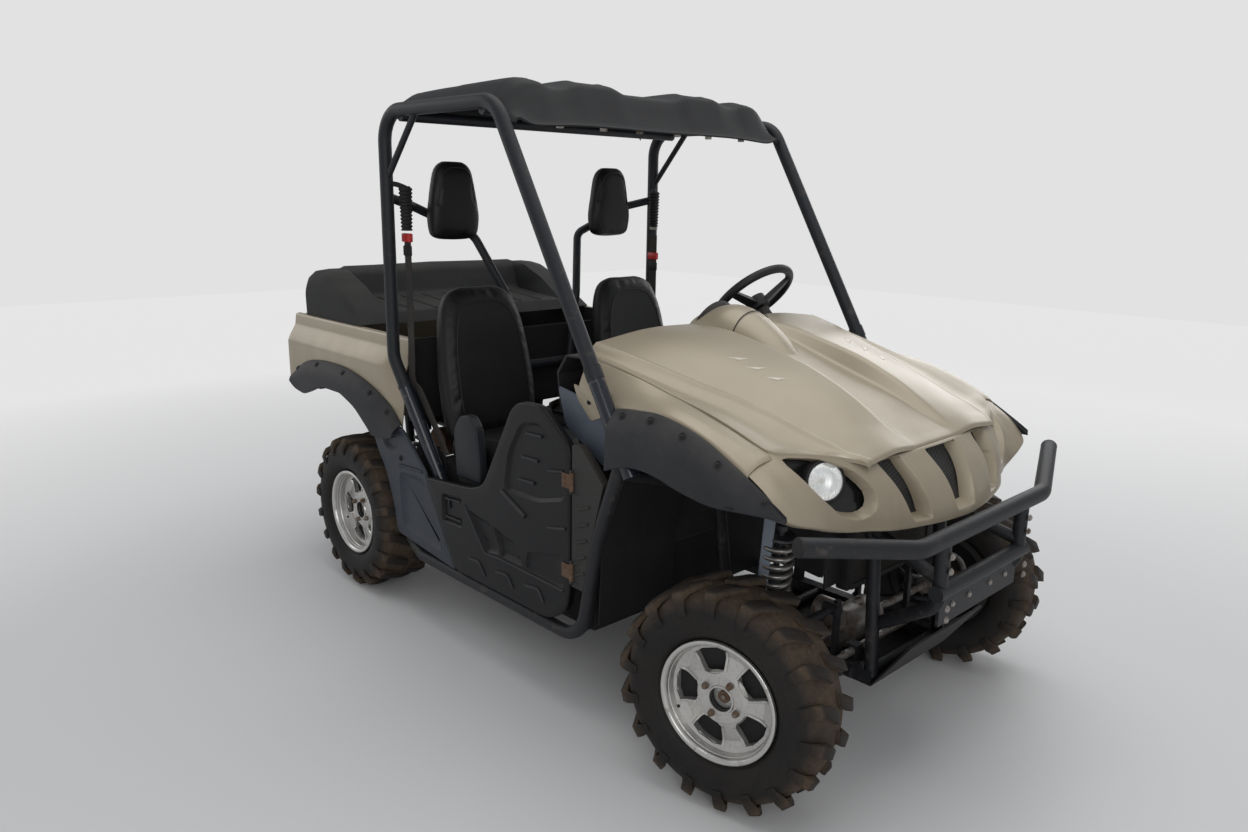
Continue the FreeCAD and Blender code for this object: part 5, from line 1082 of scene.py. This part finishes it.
def tyre_shape(wide, rim_half):
    """A carcass with two staggered rows of slanted lugs that wrap its shoulders."""
    half = wide / 2
    shoulder = half - 12
    outer = [(152, rim_half - 20), (166, rim_half - 15), (178, rim_half - 1), (196, half - 9),
             (226, half - 3), (258, half - 10), (282, half - 32)]
    inner = [(radius, -along) for radius, along in reversed(outer)]
    section = eased([(*spot, 0) for spot in outer + [(293, 0)] + inner + [(150, 0)]], 22, 3, closed=True)
    shapes = [turned([(radius, along) for radius, along, flat in section], 72)]
    # columns: radius at the foot, radius at the top, distance from the middle, turn in degrees
    lug = ((291, 304, 8, 9), (291, 307, 0.30 * half, 5.5), (289, 307, 0.62 * half, 1.5),
           (282, 301, 0.84 * half, 0), (262, 280, half - 9, 0), (240, 250, half - 4, 0.4))
    for side in (-1, 1):
        for number in range(LUGS):
            rows = []
            for low, high, along, slant in lug:
                middle = math.tau * (number + 0.25 * side) / LUGS + math.radians(slant) * side
                spread = 0.056 if along < shoulder else 0.050
                foot = spread * 1.22
                ring = []
                for radius, reach in ((low - 4, foot), (high, spread), (high, -spread), (low - 4, -foot)):
                    turn = middle + reach
                    push = 3.5 * side if radius == high and along > shoulder else 0
                    out = along * side + push
                    ring.append(Vector((radius * math.cos(turn), out, radius * math.sin(turn))))
                rows.append(ring)
            shapes.append(soften(hull(rows), 2.6, 2, 34))
    return gathered(*shapes)


def rim_details(rim_half, disc):
    """The wheel's bright outer lip with its steps, hub ring, spoke edges, nuts, cap and valve, its dark
    bore, and a black disc behind the spokes as painted shade.
    """
    lip = [(168, rim_half - 6), (168.6, rim_half + 1), (164, rim_half + 3), (157, rim_half + 1),
           (153, rim_half - 6), (151, rim_half - 20), (147, rim_half - 24), (145, disc + 14),
           (138, disc + 11), (136, disc + 6), (148, disc + 4), (154, rim_half - 26), (160, rim_half - 10)]
    hub_ring = [(60, disc + 12), (66, disc + 17), (72, disc + 17), (77, disc + 10), (70, disc + 6)]
    bore_ring = [(31, disc + 14), (33, disc + 24), (37, disc + 24), (40, disc + 18), (37, disc + 10)]
    bright = [turned(eased(lip, 2.2, 2, closed=True), 72), turned(hub_ring, 60), turned(bore_ring, 48)]
    # columns: radius, turn from the spoke's middle, height over the disc
    edge = ((80, 0.40, 17), (100, 0.40, 13), (119, 0.385, 9.5), (133, 0.37, 13.5))
    for number in range(SPOKES):
        for side in (-1, 1):
            line = []
            for radius, reach, lift in edge:
                turn = math.tau * number / SPOKES + side * reach
                line.append((radius * math.cos(turn), disc + lift, radius * math.sin(turn)))
            bright.append(sweep(eased(line, 8, 3), 4, 8))
    nut = eased([(0, 0), (9.5, 0), (9.5, 4), (8, 8), (7.4, 12), (4, 16), (0, 17)], 2, 2)
    cap = eased([(0, -16), (13, -16), (13, -6), (10, -2), (8, -2), (7, 5), (0, 6)], 1.5, 2)
    nuts = []
    for number in range(NUTS):
        turn = math.pi / 2 * number + 0.5
        nuts.append(turned_at((52 * math.cos(turn), disc + 20, 52 * math.sin(turn)), OUTWARD, nut, 18))
    nuts.append(turned_at((0, disc + 6, 0), OUTWARD, cap, 24))
    floor = [(0, -8), (31, -8), (31, -4), (0, -4)]
    bore = [(31.2, -8), (32.8, -8), (32.8, 21), (31.2, 21)]
    # A black disc behind the spoke windows: painted shade for the inside of the wheel
    shade_disc_behind_spokes = [(64, -9), (141, -9), (141, -6), (64, -6)]
    dark_parts_and_shade_disc = [turned_at((0, disc, 0), OUTWARD, ring, 40) for ring in (floor, bore, shade_disc_behind_spokes)]
    valve = [(0, 0), (4.4, 0), (4.4, 6), (3, 9), (0, 9)]
    dark_parts_and_shade_disc.append(turned_at((128, disc + 12, -66), OUTWARD, valve, 14))
    return gathered(*bright), gathered(*nuts), gathered(*dark_parts_and_shade_disc)


# columns: end, width of the tyre, half width of the rim, place of the disc's face
for end, tyre_wide, rim_half, disc in (("front", 203, 83, 36), ("rear", 254, 106, 44)):
    for hand in ("left", "right"):
        body = f"{end}_{hand}_wheel"
        centre, axis = WHEELS[body]
        place = wheel_place(body)
        rubber = tyre_rubber(f"{end} {hand} tread rubber", centre, axis, tyre_wide / 2 * MM)
        tread = moved(tyre_shape(tyre_wide, rim_half), place)
        piece(f"{end}_{hand}_tread", tread, rubber, body, (f"{end}_tyre_{hand}",), 38)
        # The black bore piece also holds the painted-shade disc behind the spokes
        details = zip(("lip", "nuts", "bore"), rim_details(rim_half, disc), (POLISHED, NUT, BLACK))
        for name, shape, finish in details:
            piece(f"{end}_{hand}_wheel_{name}", moved(shape, place), finish, body, crease=40)


# Doors: a moulded slab with a notch, a sunk upper field, trays, bars, hooks, a latch and two rusty hinges
DOOR_FACE = 660
# columns: x, z and rounding of each corner
DOOR_LINE = ((478, 420, 24), (478, 860, 30), (350, 957, 34), (236, 952, 30), (192, 918, 20), (122, 790, 20),
             (34, 634, 40), (-40, 608, 30), (-322, 580, 14), (-142, 286, 26), (384, 286, 46), (466, 346, 30))
# columns: corners (x, z), width of the rim, depth, rounding of the corners
DOOR_FIELDS = (
    (((152, 650), (178, 782), (244, 888), (336, 906), (452, 816), (460, 690), (326, 652)), 9, -9, 26),
    (((-212, 549), (-90, 561), (-88, 453), (-214, 448)), 5, -12, 8),
    (((-58, 532), (78, 514), (124, 421), (56, 411)), 12, -10, 10),
    (((88, 512), (212, 486), (250, 420), (136, 419)), 12, -10, 10),
    (((272, 478), (440, 520), (452, 412), (262, 420)), 14, -6, 16))
# columns: line (x, z), radius, how far it stands off the door's face
DOOR_BARS = (
    (((266, 856), (341, 860)), 7, -8), (((243, 777), (322, 780)), 7, -8), (((226, 701), (303, 705)), 7, -8),
    (((142, 644), (264, 590)), 9, 0), (((372, 762), (442, 774)), 6, -7), (((376, 585), (460, 604)), 6, 0),
    (((-72, 541), (44, 402), (131, 409), (452, 404)), 5, 0), (((-50, 355), (6, 362), (40, 320)), 6, 0),
    (((107, 357), (167, 365), (195, 327)), 6, 0), (((261, 361), (330, 370), (353, 332)), 6, 0),
    (((-196, 533), (-106, 542)), 4, -6), (((-196, 466), (-104, 470)), 5, -8),
    (((-178, 500), (-178, 533)), 4, -9))
LOW_HINGE, HIGH_HINGE = 448, 728


def on_door(corners, lift=0.0):
    """Points on the outer face of the left door from (x, z)."""
    return [Vector((x, DOOR_FACE + lift, z)) for x, z in corners]


door = board(DOOR_FACE, DOOR_LINE, 0, 26, 6, steps=4, segments=3)
for corners, rim, depth, round_by in DOOR_FIELDS:
    carve(door, eased(on_door(corners), round_by, 2, closed=True), OUTWARD, rim, depth, lip=2)
bars = [sweep(eased(on_door(line, lift), 14, 3), radius, 8, 0.75) for line, radius, lift in DOOR_BARS]
KNUCKLES = [(4.6, 0), (7, 0), (7, 17), (6.4, 18), (6.4, 19), (7, 20), (7, 36), (6.4, 37), (6.4, 38), (7, 39),
            (7, 56), (4.6, 56)]
hinges = []
for low in (LOW_HINGE, HIGH_HINGE):
    hinges.append(turned_at((486, 659, low), UP, KNUCKLES, 20))
    hinges.append(block((446, 660, low + 6), (484, 664, low + 50), 1.4))
    hinges += [bolt((460, 664, low + z), OUTWARD, 5, 4) for z in (16, 40)]
left_door = (("skin", door, DOOR), ("bars", gathered(*bars), PALER_BAR_PLASTIC),
             ("hinges", gathered(*hinges), RUSTY))
right_door = [(name, mirror_copy(shape), finish) for name, shape, finish in left_door]
for hand, parts in (("left", left_door), ("right", right_door)):
    for name, shape, finish in parts:
        stands_for = (f"door_{hand}",) if name == "skin" else ()
        piece(f"{hand}_door_{name}", shape, finish, f"{hand}_door", stands_for, 34)

# Narrow panels ahead of the doors, with slanted ribs over their solids
PANEL_LINE = ((484, 432), (534, 432), (570, 600), (618, 776), (522, 872), (484, 864))
panel = board(654, PANEL_LINE, 8, 18, 3, steps=2)
ribs = []
for z in range(0, 209, 52):
    ribs.append(sweep([(500 + 0.13 * z / 2, 655, 470 + z), (540 + 0.2 * z / 2, 655, 488 + z)], 6, 8, 0.8))
piece("hinge_panel_ribs", both(panel, *ribs), HINGE_PANEL, crease=34)

# Kick panels beside the dash: blue-grey board with a painted upper corner and its bolt
kick = board(596, ((346, 1012), (506, 986), (586, 914), (594, 812), (562, 800), (382, 896)), 16, 5, 1.8)
corner = board(599, ((420, 1030), (506, 1012), (560, 955), (500, 930), (440, 985)), 10, 6, 2)
piece("kick_boards", both(kick), KICK, stands_for=("kick_panels",), crease=34)
piece("kick_corners", both(corner), PAINT, crease=34)
piece("kick_bolts", both(bolt((492, 600, 985), OUTWARD, 6, 5)), BLACK)

# Panels behind the doors, with a long hollow, a round scoop, its bolt and a ridge
# columns: x, z and rounding of each corner
SIDE_LINE = ((-151, 279, 10), (-541, 314, 24), (-556, 408, 30), (-606, 540, 30), (-660, 606, 30),
             (-690, 662, 20), (-640, 706, 30), (-500, 730, 20), (-440, 690, 20), (-332, 592, 10),
             (-320, 560, 10))
side_panel = board(653, SIDE_LINE, 0, 14, 4, segments=3)
hollow = eased([(-222, 0, 322), (-500, 0, 348), (-512, 0, 560), (-330, 0, 566)], 34, 3, closed=True)
scoop = [(-568 + 52 * math.cos(turn), 0, 660 + 34 * math.sin(turn))
         for turn in (math.tau * i / 18 for i in range(18))]
carve(side_panel, hollow, OUTWARD, 22, -11, lip=2)
carve(side_panel, scoop, OUTWARD, 10, -12)
ridge = sweep(eased([(-505, 655, 582), (-420, 655, 588), (-344, 655, 592)], 20), 7, 8, 0.6)
piece("side_panel_skins", both(side_panel), GREY, stands_for=("side_panels",), crease=34)
piece("side_panel_bolts", both(bolt((-492, 652, 612), OUTWARD, 9, 9)), BLACK)
piece("side_panel_ridges", both(ridge), GREY)

# Belts: ribbed bellows, white band, webbing, red catch, tongue and hanger, at the rear posts
belt_x, belt_y = -466, 608
FOLDS = 12
boot = [(0, 0)]
for number in range(FOLDS):
    low = 12.5 * number
    wide = 19 + 4.5 * number / FOLDS
    boot += [(wide, low + 1), (wide + 1, low + 5), (wide - 3.5, low + 9)]
boot += [(14, 152), (0, 152)]
bellows = turned_at((belt_x, belt_y, 1432), UP, boot, 28)
piece("belt_bellows", both(bellows), BELLOWS, stands_for=("seat_belts",))
piece("belt_bands", block((belt_x - 21, belt_y - 4, 1420), (belt_x + 21, belt_y + 4, 1432), 2.5), WHITE_BAND)
strap = [[(belt_x - 22, belt_y - 1, z), (belt_x + 22, belt_y + 1, z)] for z in (1396, 1200, 1000, 905)]
strap += [[(belt_x + 30, belt_y - 8, 840), (belt_x + 62, belt_y - 6, 866)],
          [(belt_x + 140, belt_y - 38, 640), (belt_x + 172, belt_y - 36, 652)]]
strap = [[Vector(start).lerp(Vector(end), share) for share in (0, 0.25, 0.5, 0.75, 1)]
         for start, end in strap]
piece("belt_straps", both(skin(strap, 6, OUTWARD, 2.4)), BELT)
# columns: name, drop of the upper end, height, half width, half thickness, finish
for name, drop, tall, reach, half, finish in (("belt_catches", 0, 30, 27, 8, RED_CLIP),
                                              ("belt_tongues", 42, 36, 24, 5, BLACK)):
    clips = []
    for y, high in ((-belt_y, 1424), (belt_y, 1322)):
        top = high - drop
        clips.append(block((belt_x - reach, y - half, top - tall), (belt_x + reach, y + half, top), 4))
    piece(name, gathered(*clips), finish)
hanger = sweep(eased([(-518, 650, 1592), (-490, 628, 1590), (belt_x, belt_y, 1578)], 12), 9, 10)
piece("belt_hangers", both(hanger), BLACK)

# Glossy sleeves low on the front and rear posts, with worn ends
front_post = Vector((690, 648, 880)), Vector((126, 650, 1830))
rear_post = Vector((-518, 650, 985)), Vector((-313, 595.5, 560))
for name, radius, finish, spans in (
        ("post_sleeves", 24, POST, ((front_post, -0.06, 0.20), (rear_post, 0.24, 1.02))),
        ("post_bands", 25.5, CAGE, ((front_post, 0.20, 0.235), (rear_post, 0.225, 0.25)))):
    tubes = [sweep([foot.lerp(head, first), foot.lerp(head, last)], radius, 24)
             for (foot, head), first, last in spans]
    piece(name, both(*tubes), finish, crease=50)

# Springs: open coils round their dampers, and the plate beside each front one
# columns: lower and upper eye, radius of the coil, its turns
SPRINGS = (((996.5, 396, 296), (1060.5, 412, 742), 40, 12.5),
           ((-913.5, 376, 296), (-897.5, 300, 594), 38, 7.5))
EYE = [(5, -15), (15, -15), (17, -13), (17, 13), (15, 15), (5, 15)]
coils, dampers = [], []
for low, upper, radius, turns in SPRINGS:
    low, upper = Vector(low), Vector(upper)
    way = upper - low
    span = way.length
    start, end = 62, span - 58
    count = int(turns * 20)
    helix = [(radius * math.cos(math.tau * turns * i / count), start + (end - start) * i / count,
              radius * math.sin(math.tau * turns * i / count)) for i in range(count + 1)]
    coils.append(moved(sweep(helix, 8, 10), facing(low, way)))
    for y in (start - 12, end + 4):
        cup = [(9, y), (radius, y), (radius + 2, y + 3), (radius, y + 8), (9, y + 8)]
        dampers.append(turned_at(low, way, cup, 36))
    tube = [(0, 16), (15, 16), (17, 20), (17, start + 2), (21, start + 6), (21, start + 0.5 * span),
            (19, start + 0.52 * span), (9, start + 0.53 * span), (9, span - 34), (16, span - 30),
            (16, span - 16), (0, span - 14)]
    dampers.append(turned_at(low, way, tube, 28))
    for eye in (low, upper):
        dampers.append(turned_at(eye, AHEAD, EYE, 24))
        dampers.append(bolt(eye + 15 * AHEAD, AHEAD, 8, 9))
piece("spring_coils", both(*coils), COIL, stands_for=("front_shocks", "rear_shocks"), crease=50)
piece("spring_dampers", both(*dampers), DAMPER, crease=40)
plate = board(452, ((1010, 505), (1030, 800), (1066, 800), (1040, 500)), 6, 7, 2, steps=2)
piece("spring_plates", both(plate), BRACKET, crease=34)

# Bumper: bolts down the uprights and at the middle tube, and end caps
heads = [bolt((1440, 222, z), AHEAD, 8, 7) for z in (700, 660, 560, 530)]
heads += [bolt((1419, y, 545), AHEAD, 7, 6) for y in (60, 150)]
piece("bumper_bolts", both(*heads), STEEL)
cap = [(0, -2), (23, -2), (24.5, 0), (23.5, 3), (10, 5), (0, 5)]
piece("bumper_caps", both(turned_at((1294.5, 671, 798), (-0.36, 0.92, 0.15), cap, 28)), BLACK)

# Dark parts behind the openings, partly standing in for the shade there: wheel aprons, cooler with its tray,
# and covers before the rear wheels
aprons = [board(hand * 300, ((870, 735), (1124, 748), (1124, 560), (880, 580)), 16, 5, 1.5, steps=2)
          for hand in (-1, 1)]
cooler_frame = [block((1112, hand * 212 - 16, 510), (1152, hand * 212 + 16, 750), 6) for hand in (-1, 1)]
cooler_frame += [block((1120, hand * 260 - 40, 530), (1126, hand * 260 + 40, 748), 2) for hand in (-1, 1)]
cooler_frame += [block((1114, -200, z - 8), (1150, 200, z + 8), 4) for z in (514, 746)]
tray = slab(eased([(1086, -440, 760), (1216, -420, 762), (1290, -200, 754), (1310, 0, 752), (1290, 200, 754),
                   (1216, 420, 762), (1086, 440, 760)], 40, 3, closed=True), Vector((0, 0, -6)))
cover = board(566, ((-330, 330), (-330, 640), (-500, 700), (-540, 560), (-530, 330)), 20, 5, 1.5, steps=2)
piece("wheel_aprons", gathered(*aprons), BLACK)
piece("cooler_fins", block((1118, -196, 520), (1146, 196, 742), 3), FINS)
piece("cooler_frame", gathered(*cooler_frame, soften(tray, 1.5, 2, 60)), BLACK)
piece("side_covers", both(cover), BLACK)

# Tail lamps: ribbed red lenses in black frames
lens = block((-1440, 575, 802), (-1386, 623, 898), 5, 3)
edges = [block((-1436, 572, z), (-1384, 626, z + 7), 2) for z in (796, 897)]
ribs = [block((-1442.5, 578, z), (-1438, 620, z + 4), 1) for z in range(812, 883, 14)]
piece("tail_lamp_lenses", both(lens, *ribs), RED_LENS, "bed", ("tail_lamps",))
piece("tail_lamp_frames", both(*edges), BLACK, "bed")

# Tailgate: pressed panel with two long hollows and a handle in a recess
GATE_BACK, GATE_HALF = -1442.5, 560
gate = slab(eased([(GATE_BACK, -GATE_HALF, 745), (GATE_BACK, GATE_HALF, 745), (GATE_BACK, GATE_HALF, 1044),
                   (GATE_BACK, -GATE_HALF, 1044)], 12, 3, closed=True), 31 * AHEAD)
soften(gate, 4, 2, 60)
for low, high in ((-520, -130), (130, 520)):
    outline = eased([(0, low, 775), (0, high, 775), (0, high, 1000), (0, low, 1000)], 30, 3, closed=True)
    carve(gate, outline, -AHEAD, 16, -12, lip=2)
recess = eased([(0, -90, 930), (0, 90, 930), (0, 80, 1005), (0, -80, 1005)], 14, 3, closed=True)
carve(gate, recess, -AHEAD, 8, -14, lip=2)
piece("tailgate_skin", gate, PAINT, "gate", ("tailgate",), 34)
piece("tailgate_handle", block((-1443, -60, 958), (-1430, 60, 978), 4, 3), BLACK, "gate")


# Stage, lamps and camera

PALE = (0.76, 0.76, 0.76)
SKY = (0.95, 0.97, 1.0)
DARK = (0.0, 0.0, 0.0)
PHOTO_WIDE = 1248
FOCAL = 927.54
YAW, PITCH, ROLL = 2.3823, 0.2347, 0.0163
CAMERA_SPOT = (2.4487, -2.3171, 1.5686)
LIT_SPOT = Vector((0, 0, 0.7))


def placed(name, data):
    """A new object in the scene."""
    item = bpy.data.objects.new(name, data)
    bpy.context.scene.collection.objects.link(item)
    return item


def pale_floor():
    """A floor that fades into the pale background."""
    bm = bmesh.new()
    bmesh.ops.create_grid(bm, x_segments=1, y_segments=1, size=12)
    mesh = bpy.data.meshes.new("floor")
    bm.to_mesh(mesh)
    bm.free()
    ground = Finish("floor", (0.70, 0.70, 0.70), 0.9, Emission_Strength=1.0)
    reach = ground.add("ShaderNodeVectorMath", {"operation": "LENGTH"}, [ground.place], 1)
    far = ((reach - 2.2) * 0.3).clipped()
    ground.feed("Base Color", ground.mix(far, (0.66, 0.66, 0.66), DARK))
    ground.feed("Emission Color", ground.mix(far, DARK, PALE))
    mesh.materials.append(ground.material)
    placed("floor", mesh)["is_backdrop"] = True


def soft_world():
    """Soft light from all round, and the same pale tone behind the floor in sight."""
    world = bpy.data.worlds.new("studio")
    bpy.context.scene.world = world
    world.use_nodes = True
    nodes, links = world.node_tree.nodes, world.node_tree.links
    nodes.clear()
    light_path = nodes.new("ShaderNodeLightPath")
    seen = nodes.new("ShaderNodeMath")
    seen.operation = "MAXIMUM"
    links.new(light_path.outputs["Is Camera Ray"], seen.inputs[0])
    links.new(light_path.outputs["Is Transmission Ray"], seen.inputs[1])
    blend = nodes.new("ShaderNodeMixShader")
    links.new(seen.outputs[0], blend.inputs[0])
    for number, (tone, strength) in enumerate(((SKY, 0.42), (PALE, 1.0))):
        light = nodes.new("ShaderNodeBackground")
        light.inputs[0].default_value = (*tone, 1)
        light.inputs[1].default_value = strength
        links.new(light.outputs[0], blend.inputs[number + 1])
    output = nodes.new("ShaderNodeOutputWorld")
    links.new(blend.outputs[0], output.inputs[0])


def lamps():
    """Large round lamps over and about the vehicle."""
    # columns: name, place, size, power
    for name, spot, size, power in (
            ("roof lamp", (0.4, 0.6, 5.2), 5.5, 118), ("wall lamp", (-0.6, 5.4, 2.8), 3.6, 70),
            ("door lamp", (4.6, -3.8, 2.6), 3.4, 70), ("back lamp", (-5.0, -2.4, 3.0), 3.4, 40)):
        lamp = bpy.data.lights.new(name, "AREA")
        lamp.shape = "DISK"
        lamp.size = size
        lamp.energy = power
        item = placed(name, lamp)
        item.location = spot
        item.rotation_euler = (LIT_SPOT - Vector(spot)).to_track_quat("-Z", "Y").to_euler()


def photo_camera():
    """The photograph's camera, from its fitted place, turn and focal length in pixels."""
    ahead = Vector((math.cos(YAW) * math.cos(PITCH), math.sin(YAW) * math.cos(PITCH), -math.sin(PITCH)))
    level = ahead.cross(UP).normalized()
    upright = level.cross(ahead)
    right = level * math.cos(ROLL) + upright * math.sin(ROLL)
    above = upright * math.cos(ROLL) - level * math.sin(ROLL)
    view = bpy.data.cameras.new("camera")
    view.sensor_width = 36
    view.lens = FOCAL / PHOTO_WIDE * view.sensor_width
    camera = placed("camera", view)
    turn = Matrix((right, above, -ahead)).transposed().to_4x4()
    camera.matrix_world = Matrix.Translation(CAMERA_SPOT) @ turn
    bpy.context.scene.camera = camera
    bpy.context.scene.view_settings.view_transform = "Standard"


pale_floor()
soft_world()
lamps()
photo_camera()

low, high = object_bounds()
